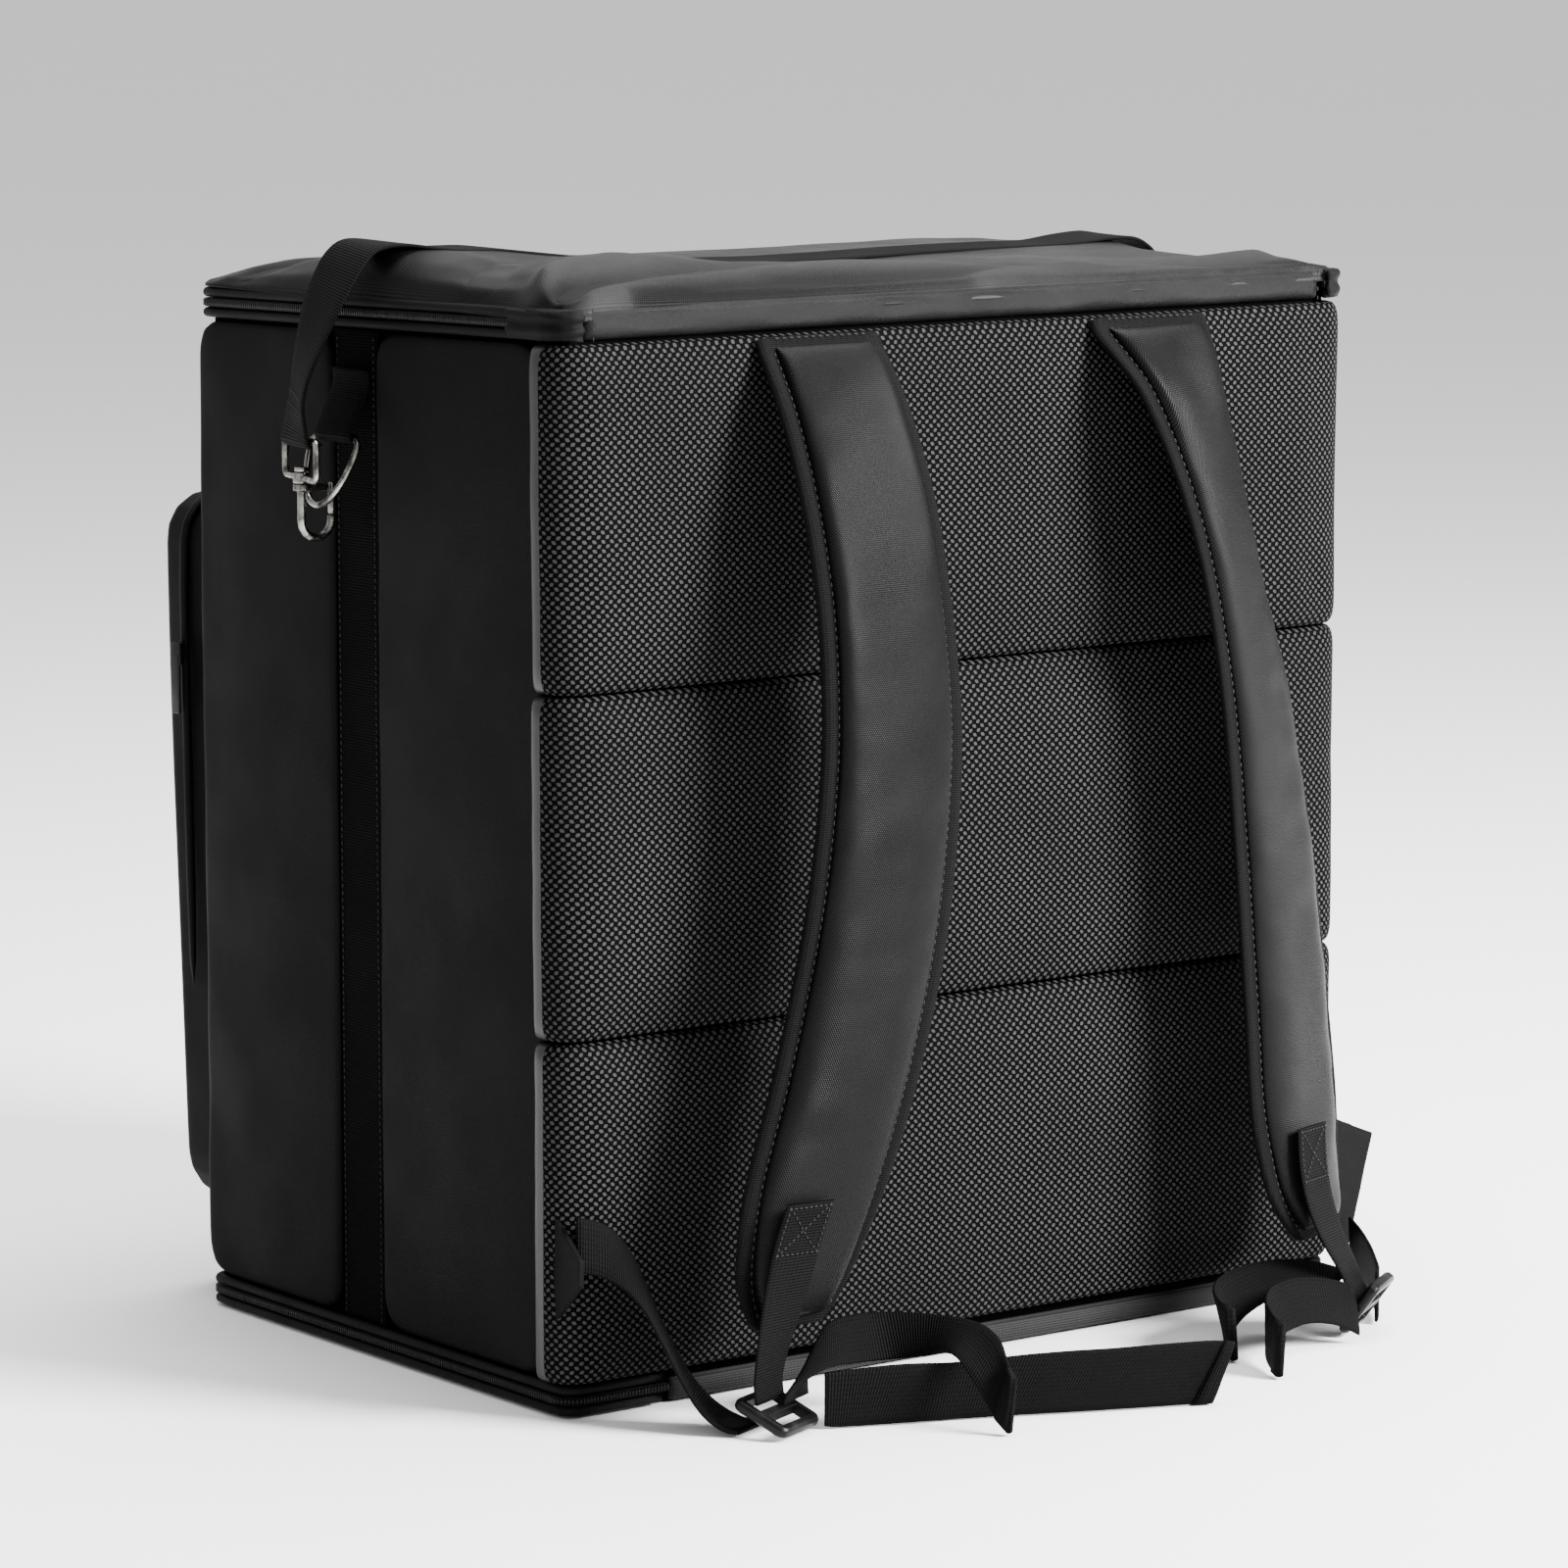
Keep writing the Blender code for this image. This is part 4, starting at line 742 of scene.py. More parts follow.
def sweep(name: str, sections: Sequence[tuple[Section, float]],
          profile: Sequence[tuple[float, float]]) -> bpy.types.Object:
    """Sweep a closed profile along sections.

    Args:
        name: The object's name.
        sections: Sections with their length along.
        profile: Points round the strap: across as a share of half the width, out in metres.

    Returns:
        The closed object, with a UV of metres across and along.
    """
    points, uvs, faces = [], [], []
    count = len(profile)
    for section, along in sections:
        for across, out in profile:
            point = section.centre + section.across * across * section.half + section.out * out
            point.z = max(point.z, GROUND)
            points.append(point)
            uvs.append((across * section.half, along))
    for j in range(len(sections) - 1):
        for i in range(count):
            a, b = j * count + i, j * count + (i + 1) % count
            faces.append((a, b, b + count, a + count))
    faces.append(tuple(range(count)))
    faces.append(tuple(range(len(points) - count, len(points))))
    return outward(mesh_object(name, points, faces, uvs))


def flat_profile(thickness: float, steps: int = 7) -> list[tuple[float, float]]:
    """A flat webbing's outline with rounded edges, for sweep."""
    half = thickness / 2
    shares = [-0.93 + 1.86 * index / (steps - 1) for index in range(steps)]
    return ([(share, half) for share in shares] + [(0.985, half * 0.6), (1.0, 0.0), (0.985, -half * 0.6)]
            + [(share, -half) for share in reversed(shares)]
            + [(-0.985, -half * 0.6), (-1.0, 0.0), (-0.985, half * 0.6)])


# Geometry Nodes


class Rows:
    """Base of the node trees that set a small shape again and again along lines."""

    tree: bpy.types.NodeTree
    sockets: dict[str, str]

    def __init__(self, name: str, inputs: dict[str, float]) -> None:
        """Open a tree with a geometry input, number inputs and a material input.

        Args:
            name: The tree's name.
            inputs: Number inputs by name, with their defaults.
        """
        self.tree = bpy.data.node_groups.new(name, "GeometryNodeTree")
        face = self.tree.interface
        face.new_socket("Geometry", in_out="INPUT", socket_type="NodeSocketGeometry")
        face.new_socket("Geometry", in_out="OUTPUT", socket_type="NodeSocketGeometry")
        self.sockets = {}
        for label, value in inputs.items():
            made = face.new_socket(label, in_out="INPUT", socket_type="NodeSocketFloat")
            made.default_value = value
            self.sockets[label] = made.identifier
        made = face.new_socket("Material", in_out="INPUT", socket_type="NodeSocketMaterial")
        self.sockets["Material"] = made.identifier
        self.source = self.tree.nodes.new("NodeGroupInput")
        self.build()

    def build(self) -> None:
        """Fill the tree; each kind of row does this its own way."""

    def add(self, kind: str, settings: dict | None = None, **sockets: object) -> bpy.types.Node:
        """Add a node and fill its inputs by name, with _ for a space."""
        node = self.tree.nodes.new(kind)
        for name, value in (settings or {}).items():
            setattr(node, name, value)
        for name, value in sockets.items():
            target = node.inputs[name.replace("_", " ")]
            if isinstance(value, Socket):
                self.tree.links.new(value, target)
            else:
                target.default_value = value
        return node

    def close(self, geometry: Socket) -> None:
        """End the tree: real geometry, its material, and the output."""
        real = self.add("GeometryNodeRealizeInstances", Geometry=geometry)
        dressed = self.add("GeometryNodeSetMaterial", Geometry=real.outputs[0],
                           Material=self.source.outputs["Material"])
        sink = self.tree.nodes.new("NodeGroupOutput")
        self.tree.links.new(dressed.outputs[0], sink.inputs[0])

    def run(self, name: str, lines: Sequence[Sequence[Vector]], material: bpy.types.Material,
            **values: float) -> bpy.types.Object:
        """Run the tree on lines of points and keep the result as a plain mesh.

        Args:
            name: The new object's name.
            lines: Lines of points to follow.
            material: The small shapes' material.
            values: Number inputs by name.

        Returns:
            The object.
        """
        points, edges = [], []
        for line in lines:
            first = len(points)
            points.extend(tuple(point) for point in line)
            edges.extend((first + index, first + index + 1) for index in range(len(line) - 1))
        mesh = bpy.data.meshes.new(name)
        mesh.from_pydata(points, edges, [])
        item = bpy.data.objects.new(name, mesh)
        bpy.context.scene.collection.objects.link(item)
        step = item.modifiers.new("rows", "NODES")
        step.node_group = self.tree
        step[self.sockets["Material"]] = material
        for label, value in values.items():
            step[self.sockets[label]] = value
        plain_mesh(item)
        return add_box_uv(item)


class StitchRows(Rows):
    """Stitches: small rounded threads, one after another along a seam."""

    def __init__(self) -> None:
        """Open the tree with the stitch's sizes."""
        super().__init__("stitch_rows", {"Pitch": 0.0042, "Length": 0.003, "Radius": 0.0004})

    def build(self) -> None:
        """Lines to curves, points at each pitch, a slim ball on each, turned along the seam."""
        curve = self.add("GeometryNodeMeshToCurve", Mesh=self.source.outputs["Geometry"])
        even = self.add("GeometryNodeResampleCurve", {"mode": "LENGTH"}, Curve=curve.outputs[0],
                        Length=self.source.outputs["Pitch"])
        ball = self.add("GeometryNodeMeshUVSphere", Segments=6, Rings=4, Radius=0.5)
        tangent = self.add("GeometryNodeInputTangent")
        turned = self.add("FunctionNodeAlignRotationToVector", {"axis": "X"}, Vector=tangent.outputs[0])
        wide = self.add("ShaderNodeMath", {"operation": "MULTIPLY"})
        self.tree.links.new(self.source.outputs["Radius"], wide.inputs[0])
        wide.inputs[1].default_value = 2.0
        size = self.add("ShaderNodeCombineXYZ", X=self.source.outputs["Length"], Y=wide.outputs[0],
                        Z=wide.outputs[0])
        threads = self.add("GeometryNodeInstanceOnPoints", Points=even.outputs[0],
                           Instance=ball.outputs["Mesh"], Rotation=turned.outputs[0], Scale=size.outputs[0])
        smooth = self.add("GeometryNodeSetShadeSmooth", Geometry=threads.outputs[0])
        self.close(smooth.outputs[0])


class CoilRows(Rows):
    """A zip's coil: short bars across the line, at a fine pitch."""

    def __init__(self) -> None:
        """Open the tree with the coil's sizes."""
        super().__init__("coil_rows", {"Pitch": 0.0016, "Length": 0.0009, "Reach": 0.0034, "Depth": 0.0014})

    def build(self) -> None:
        """Lines to curves, points at each pitch, a small block on each, turned along the zip."""
        curve = self.add("GeometryNodeMeshToCurve", Mesh=self.source.outputs["Geometry"])
        even = self.add("GeometryNodeResampleCurve", {"mode": "LENGTH"}, Curve=curve.outputs[0],
                        Length=self.source.outputs["Pitch"])
        block = self.add("GeometryNodeMeshCube", Size=(1.0, 1.0, 1.0))
        tangent = self.add("GeometryNodeInputTangent")
        turned = self.add("FunctionNodeAlignRotationToVector", {"axis": "X"}, Vector=tangent.outputs[0])
        size = self.add("ShaderNodeCombineXYZ", X=self.source.outputs["Length"],
                        Y=self.source.outputs["Depth"], Z=self.source.outputs["Reach"])
        teeth = self.add("GeometryNodeInstanceOnPoints", Points=even.outputs[0], Instance=block.outputs["Mesh"],
                         Rotation=turned.outputs[0], Scale=size.outputs[0])
        self.close(teeth.outputs[0])


# Sub-assemblies


@dataclass
class BodyFrame:
    """The box that every soft piece of the body follows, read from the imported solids."""

    corner: float = 0.006
    sag: float = 0.0065
    half_x: float = 0.0
    half_y: float = 0.0
    pad_low: float = 0.0
    pad_high: float = 0.0
    seam: float = 0.500

    def __post_init__(self) -> None:
        """Read the shell's half sizes and the pads' ends."""
        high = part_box("body_shell")[1]
        self.half_x, self.half_y = high.x, high.y
        self.pad_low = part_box("side_strip_left")[0].z
        self.pad_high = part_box("back_pad_top")[1].z

    def drop(self, y: float, z: float) -> float:
        """How far the soft body has settled at a place."""
        return self.sag * (y + self.half_y) / (2 * self.half_y) * z / self.seam

    def settled(self, point: Vector) -> Vector:
        """A point after the body has settled."""
        return Vector((point.x, point.y, point.z - self.drop(point.y, point.z)))

    def band_line(self, offset: float, z: float, back_reach: float = 0.0, arc_steps: int = 8) -> list[Vector]:
        """A level line round the left side, front and right side of the body.

        Args:
            offset: Distance outside the shell.
            z: Height before settling.
            back_reach: How far each end reaches along the back past its corner.
            arc_steps: Steps in each corner.

        Returns:
            The line's points after settling.
        """
        half_x, half_y, radius = self.half_x + offset, self.half_y + offset, self.corner + offset
        plan = [(-half_x + radius + back_reach, -half_y)] if back_reach > 0 else []
        for x_sign, y_sign, start in ((-1, -1, 270), (-1, 1, 180), (1, 1, 90), (1, -1, 0)):
            for step in range(arc_steps + 1):
                angle = math.radians(start - 90 * step / arc_steps)
                plan.append((x_sign * (half_x - radius) + radius * math.cos(angle),
                             y_sign * (half_y - radius) + radius * math.sin(angle)))
        if back_reach > 0:
            plan.append((half_x - radius - back_reach, -half_y))
        return [self.settled(Vector((x, y, z))) for x, y in plan]


def soft_noise(place: Vector, scale: float, seed: float) -> float:
    """Smooth noise from -1 to 1 at a place, at cells of a scale in metres."""
    return noise.noise(Vector((place.x / scale + seed, place.y / scale, place.z / scale)))


@dataclass
class SidePads:
    """The padded fields either side of each webbing strip."""

    body: BodyFrame
    edge: float = 0.0034
    roll: float = 0.011
    rounding: float = 0.016
    step: float = 0.0055
    pull: float = 0.0006

    def height(self, u: float, v: float, half_u: float, half_v: float, full: float) -> float:
        """The pad's thickness at a place: thin at its seam, rolled, and fullest in the middle."""
        reach = min(half_u - abs(u), half_v - abs(v))
        rise = min(max(reach, 0.0) / self.roll, 1.0)
        swell = 0.82 + 0.18 * (1 - (u / half_u) ** 2) * (1 - (v / half_v) ** 2)
        return self.edge + (full - self.edge) * math.sqrt(1 - (1 - rise) ** 2) * swell

    def build(self) -> None:
        """Build the four pads."""
        for side in Side:
            for field_name in ("front", "back"):
                self.build_one(side, f"side_pad_{side.word}_{field_name}")

    def build_one(self, side: Side, node: str) -> None:
        """Build one pad on its solid's place.

        Args:
            side: The side it is on.
            node: The solid it stands for.
        """
        low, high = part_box(node)
        y_mid, half_y = (low.y + high.y) / 2, (high.y - low.y) / 2
        z_low, z_high = self.body.pad_low, self.body.pad_high
        z_mid, half_z = (z_low + z_high) / 2, (z_high - z_low) / 2
        full = high.x - low.x
        wall = self.body.half_x + 0.0003
        seed = 3.1 if side is Side.LEFT else 9.4

        def spot(u: float, v: float, is_outer: bool) -> Vector:
            """A place on the pad."""
            ru, rv = rounded_corner(u, v, half_y, half_z, self.rounding)
            height = 0.0
            if is_outer:
                height = self.height(u, v, half_y, half_z, full - 0.0012)
                place = Vector((seed, y_mid + ru, z_mid + rv))
                height += self.pull * soft_noise(place, 0.035, seed) + 0.0008 * soft_noise(
                    Vector((seed, place.y, place.z * 0.35)), 0.05, seed)
            point = Vector((side.value * (wall + height), y_mid + ru, z_mid + rv))
            return self.body.settled(point)

        item, sewn = closed_pad(node, spaced(-half_y, half_y, self.step), spaced(-half_z, half_z, self.step), spot)
        inflate(item, sewn, 0.0022)
        subdivide(item)
        Piece(node + "_cloth", PADDED, "padded_cloth", "padded_cloth", (node,), fill=0.6).join(item)


@dataclass
class BackPads:
    """The three quilted mesh fields of the back, which wrap round both corners."""

    body: BodyFrame
    wrap: float = 0.008
    gap: float = 0.0006
    full: float = 0.0117
    edge: float = 0.0082
    roll: float = 0.010
    flatter: float = 0.35
    pucker: float = 0.0011
    step: float = 0.0045

    def build(self) -> None:
        """Build the three fields."""
        for node in ("back_pad_bottom", "back_pad_middle", "back_pad_top"):
            self.build_one(node)

    def build_one(self, node: str) -> None:
        """Build one field on its solid's place, with a UV that follows the wrap."""
        low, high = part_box(node)
        z_low, z_high = low.z, high.z
        radius = self.body.corner + self.gap
        flat = self.body.half_x - self.body.corner
        arc = radius * math.pi / 2
        half = flat + arc + self.wrap
        z_mid, half_z = (z_low + z_high) / 2, (z_high - z_low) / 2

        def spot(place: float, row: float, is_outer: bool) -> Vector:
            """A place on the field, at a length from the middle and a height."""
            reach = abs(place)
            turn = min(max((reach - flat) / radius, 0.0), math.pi / 2)
            over = max(reach - flat - arc, 0.0)
            height = 0.0
            if is_outer:
                v = row - z_mid
                rise = min(max(half_z - abs(v), 0.0) / self.roll, 1.0)
                side_rise = min(max(half - reach, 0.0) / (self.roll * 0.8), 1.0)
                fullness = min(reach / (flat + arc / 2), 1.0)
                swell = 0.84 + 0.16 * (1 - fullness**2) * (1 - (v / half_z) ** 2)
                height = self.edge + (self.full - self.edge) * swell * math.sqrt(
                    (1 - (1 - rise) ** 2) * (1 - (1 - side_rise) ** 2) ** 0.5)
                spread = Vector((place, z_low * 3, row))
                height += 0.0009 * soft_noise(spread, 0.07, 2.0) + 0.0005 * soft_noise(spread, 0.028, 5.0)
                if place > 0:
                    height *= 1 - self.flatter * min(max(reach - flat + 0.02, 0.0) / (0.02 + arc), 1.0)
                height -= self.pucker * (1 - rise) * abs(soft_noise(Vector((place, 0.0, z_low)), 0.016, 4.0))
            x = min(reach, flat) + (radius + height) * math.sin(turn)
            y = -self.body.half_y + self.body.corner - (radius + height) * math.cos(turn) + over
            return Vector((math.copysign(x, place), y, row))

        sides = spaced(flat, flat + arc, 0.0024)[1:] + [half - self.wrap * 0.45, half]
        columns = [-reach for reach in reversed(sides)] + spaced(-flat, flat, self.step) + sides
        item, sewn = closed_pad(node, columns, spaced(z_low, z_high, self.step), spot)
        for spot_uv in item.data.uv_layers["UVMap"].data:
            reach = abs(spot_uv.uv.x)
            turn = min(max((reach - flat) / radius, 0.0), math.pi / 2)
            length = min(reach, flat) + (radius + self.full * 0.9) * turn + max(reach - flat - arc, 0.0)
            spot_uv.uv.x = math.copysign(length, spot_uv.uv.x)
        inflate(item, sewn, 0.0016)
        subdivide(item)
        Piece(node + "_mesh", SPACER, "spacer_mesh", "spacer_mesh", (node,), fill=0.7).join(item)


@dataclass(frozen=True)
class Fold:
    """A crease of the lid between two places, which are shares of its half sizes."""

    start: tuple[float, float]
    end: tuple[float, float]
    height: float
    width: float


@dataclass
class Lid:
    """The soft zipped lid: domed, sagging, and creased where it is drawn to its corners."""

    body: BodyFrame
    step: float = 0.0045
    depth: float = 2.3
    # Fold height at which the painted crease shade and ridge light are full.
    full_fold: float = 0.0045
    strap_place: float = 0.0175
    strap_reach: float = 0.028
    strap_lift: float = 0.0055
    folds: tuple[Fold, ...] = (
        Fold((-0.99, -0.55), (-0.62, -0.10), -0.0030, 0.014),
        Fold((-0.97, -0.80), (-0.50, -0.55), 0.0034, 0.013),
        Fold((-0.98, -0.93), (-0.35, -0.80), -0.0030, 0.009),
        Fold((-0.90, -0.97), (0.10, -0.72), 0.0026, 0.012),
        Fold((-0.80, -0.99), (0.30, -0.88), -0.0024, 0.008),
        Fold((-0.97, 0.20), (-0.55, 0.05), 0.0024, 0.016),
        Fold((-0.98, 0.75), (-0.45, 0.35), -0.0028, 0.015),
        Fold((0.05, -0.97), (0.55, -0.80), 0.0018, 0.010),
        Fold((0.98, -0.90), (0.15, -0.62), -0.0026, 0.011),
        Fold((0.97, -0.70), (0.25, -0.35), 0.0022, 0.014),
        Fold((0.98, -0.96), (0.40, -0.90), -0.0018, 0.007),
        Fold((-0.45, -0.55), (0.10, -0.15), -0.0022, 0.016),
        Fold((-0.20, 0.10), (0.55, 0.00), -0.0018, 0.020),
    )

    def lines(self, half: float) -> list[float]:
        """Grid lines across the lid, closer together at its rolled edge."""
        rim = [half - 0.0008, half - 0.0022, half - 0.0042]
        return [-half, *(-place for place in rim), *spaced(-half + 0.008, half - 0.008, self.step),
                *reversed(rim), half]

    def build(self) -> None:
        """Build the lid over its solid, with its folds and a short simulation."""
        low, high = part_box("lid")
        half_x, half_y = (high.x - low.x) / 2, (high.y - low.y) / 2
        tree, strap = (BVHTree.FromPolygons([vert.co for vert in solid.data.vertices],
                                            [face.vertices for face in solid.data.polygons])
                       for solid in (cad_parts["lid"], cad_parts["carry_strap"]))

        def fold_height(x: float, y: float) -> float:
            """The sum of the folds at a place."""
            total = 0.0
            for fold in self.folds:
                start = Vector((fold.start[0] * half_x, fold.start[1] * half_y))
                end = Vector((fold.end[0] * half_x, fold.end[1] * half_y))
                run = end - start
                share = (Vector((x, y)) - start).dot(run) / run.length_squared
                near = start + run * min(max(share, 0.0), 1.0)
                distance = (Vector((x, y)) - near).length
                fade = 1.0 - 0.75 * min(max(share, 0.0), 1.0)
                total += self.depth * fold.height * fade * math.exp(-((distance / (fold.width * (1.6 - fade))) ** 2))
            return total

        def spot(u: float, v: float, is_outer: bool) -> Vector:
            """A place on the lid's top or underside."""
            x, y = rounded_corner(u, v, half_x, half_y, self.body.corner * 2)
            inner_x, inner_y = x * 0.9975, y * 0.9965
            hit = tree.ray_cast(Vector((inner_x, inner_y, high.z + 0.05)), Vector((0, 0, -1)))[0]
            top = hit.z if hit is not None else low.z + 0.0022
            edge = min(half_x - abs(u), half_y - abs(v))
            fall = min(edge / 0.004, 1.0)
            if not is_outer:
                return Vector((x, y, max(low.z + (top - low.z) * fall - 0.0022, low.z)))
            top = low.z + 0.0012 + (top - low.z - 0.0012) * math.sqrt(1 - (1 - fall) ** 2)
            calm = min(edge / 0.012, 1.0)
            pressed = math.exp(-(((y - self.strap_place) / self.strap_reach) ** 2))
            folds = fold_height(x, y) + 0.0006 * soft_noise(Vector((x, y, 0.0)), 0.03, 7.0)
            under = strap.ray_cast(Vector((x, self.strap_place, top - 0.03)), Vector((0, 0, 1)))[0]
            space = 0.0 if under is None else min(max(under.z - top - 0.0004, 0.0), self.strap_lift)
            top += calm * (folds * (1 - pressed) + space * pressed)
            return Vector((x, y, top))

        item, sewn = closed_pad("lid", self.lines(half_x), self.lines(half_y), spot)
        # Painted light in the fold attribute: darker in crease valleys, lighter on ridges, and lighter towards +X,
        # where the key lamp stands.
        painted_light_in_folds = item.data.attributes.new("fold", "FLOAT", "POINT")
        for value, vert in zip(painted_light_in_folds.data, item.data.vertices):
            share = fold_height(vert.co.x, vert.co.y) / self.full_fold
            # The 0.35 share paints the lid lighter towards +X, the key lamp's side.
            value.value = max(min(share, 1.0), -1.0) + 0.35 * vert.co.x / half_x
        inflate(item, sewn, 0.0016, 2.0)
        subdivide(item)
        Piece("lid_cloth", LID_CLOTH_PAINTED_LIGHT, "lid_cloth", "padded_cloth", ("lid",), fill=0.3).join(item)


@dataclass
class Shell:
    """The walls behind the pads, the plain front pad, and the bands of the back."""

    body: BodyFrame

    def build(self) -> None:
        """Build the shell's cloth, the front pad, the hinge band, trim and end tabs."""
        item = add_box_uv(node_copy("body_shell"))
        edge = item.modifiers.new("edge", "BEVEL")
        edge.width = 0.0008
        edge.segments = 2
        edge.angle_limit = math.radians(50)
        Piece("body_cloth", LINER, "liner_cloth", "padded_cloth", ("body_shell",)).join(plain_mesh(item))
        item = add_box_uv(subdivide(node_copy("front_pad"), 2))
        Piece("front_pad_cloth", PADDED, "padded_cloth", "padded_cloth", ("front_pad",), fill=0.3).join(item)
        # The hinge band wears the lid's cloth, with its painted top-light sheen.
        self.build_band("hinge_band", LID_CLOTH_PAINTED_LIGHT, "lid_cloth", "padded_cloth", 0.0016)
        self.build_band("back_trim", TRIM, "trim_webbing", "webbing", 0.0003)
        for side in Side:
            self.build_tab(side)

    def build_band(self, node: str, finish: ClothFinish, finish_name: str, slot: str, waver: float) -> None:
        """Build one plain band of the back, slightly wavy, from its solid's box.

        Args:
            node: The solid it stands for.
            finish: Its cloth.
            finish_name: The cloth's plain name.
            slot: Its material slot.
            waver: How far its face wavers.
        """
        low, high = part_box(node)
        mid_z, half_z = (low.z + high.z) / 2, (high.z - low.z) / 2

        def spot(u: float, v: float, is_outer: bool) -> Vector:
            """A place on the band."""
            if not is_outer:
                return Vector((u, high.y, mid_z + v))
            ends = min(max(high.x - abs(u), 0.0) / 0.003, 1.0)
            rise = math.sqrt(max(1 - (abs(v) / half_z) ** 3, 0.0)) * (0.4 + 0.6 * ends)
            depth = (high.y - low.y) * (0.35 + 0.65 * rise)
            depth += waver * soft_noise(Vector((u, 0, v * 3)), 0.03, 1.0) * rise - waver * 0.5
            return Vector((u, high.y - depth, mid_z + v))

        item, _ = closed_pad(node, spaced(low.x, high.x, 0.004), spaced(-half_z, half_z, 0.0018), spot)
        Piece(node + "_cloth", finish, finish_name, slot, (node,)).join(subdivide(item))

    def build_tab(self, side: Side) -> None:
        """Build the cloth tab over one end of the top zip."""
        node = f"zip_end_tab_{side.word}"
        item = node_copy(node)
        soft = item.modifiers.new("dense", "REMESH")
        soft.mode = "VOXEL"
        soft.voxel_size = 0.0011
        round_off = item.modifiers.new("round", "SMOOTH")
        round_off.iterations = 6
        item = plain_mesh(item)
        for vert in item.data.vertices:
            ridge = math.sin(vert.co.z * 900 + 2.0 * soft_noise(vert.co, 0.02, 2.0))
            vert.co += vert.normal * 0.0007 * ridge
        Piece(node + "_cloth", PIPING, "piping_cloth", "padded_cloth", (node,)).join(add_box_uv(item))


@dataclass
class Zips:
    """The zip round the lid, the one round the base and the one over the pocket."""

    body: BodyFrame
    coil: CoilRows
    piping: float = 0.0026
    tape: float = 0.0045

    def build(self) -> None:
        """Build pipings, tapes, coils and sliders."""
        for node in ("body_edge_piping", "lid_edge_piping", "base_lower_piping", "base_upper_piping",
                     "pocket_zip_tape"):
            item = add_box_uv(subdivide(node_copy(node)))
            Piece(node + "_roll", PIPING, "piping_cloth", "binding", (node,)).join(item)
        for node in ("top_zip_tape", "base_zip_tape"):
            item = add_box_uv(node_copy(node))
            Piece(node + "_cloth", PIPING, "piping_cloth", "binding", (node,)).join(item)
        offset = 0.0003 + self.tape + 0.0003
        base_z = 0.0006 + 2 * self.piping + 0.0003 + 0.002
        lines = [self.body.band_line(offset, self.body.seam), self.body.band_line(offset, base_z, 0.046)]
        teeth = self.coil.run("zip_coils", lines, Wardrobe.of(PLASTIC, "black_plastic"), Pitch=0.0018,
                              Length=0.0011, Reach=0.0030, Depth=0.0009)
        Piece("zip_coils", PLASTIC, "black_plastic", "plastic").join(teeth)
        for node in ("top_zip_pull", "base_zip_pull", "pocket_zip_pull"):
            item = node_copy(node)
            edge = item.modifiers.new("edge", "BEVEL")
            edge.width = 0.0003
            edge.segments = 2
            Piece(node + "_slider", PLASTIC, "black_plastic", "plastic", (node,)).join(plain_mesh(item))


@dataclass
class Pocket:
    """The front pocket: a soft cup with a gusset seam."""

    body: BodyFrame

    def build(self) -> None:
        """Build the pocket from its solid, softened and slightly creased."""
        item = node_copy("front_pocket")
        add = item.modifiers.new("smooth", "SUBSURF")
        add.subdivision_type = "SIMPLE"
        add.levels = 2
        add.render_levels = 2
        plain_mesh(item)
        for vert in item.data.vertices:
            swell = 0.0012 * soft_noise(vert.co, 0.06, 4.0) + 0.0006 * soft_noise(vert.co, 0.025, 8.0)
            vert.co += vert.normal * swell
        item = add_box_uv(subdivide(item))
        Piece("front_pocket_cloth", PADDED, "padded_cloth", "padded_cloth", ("front_pocket",), fill=0.3).join(item)


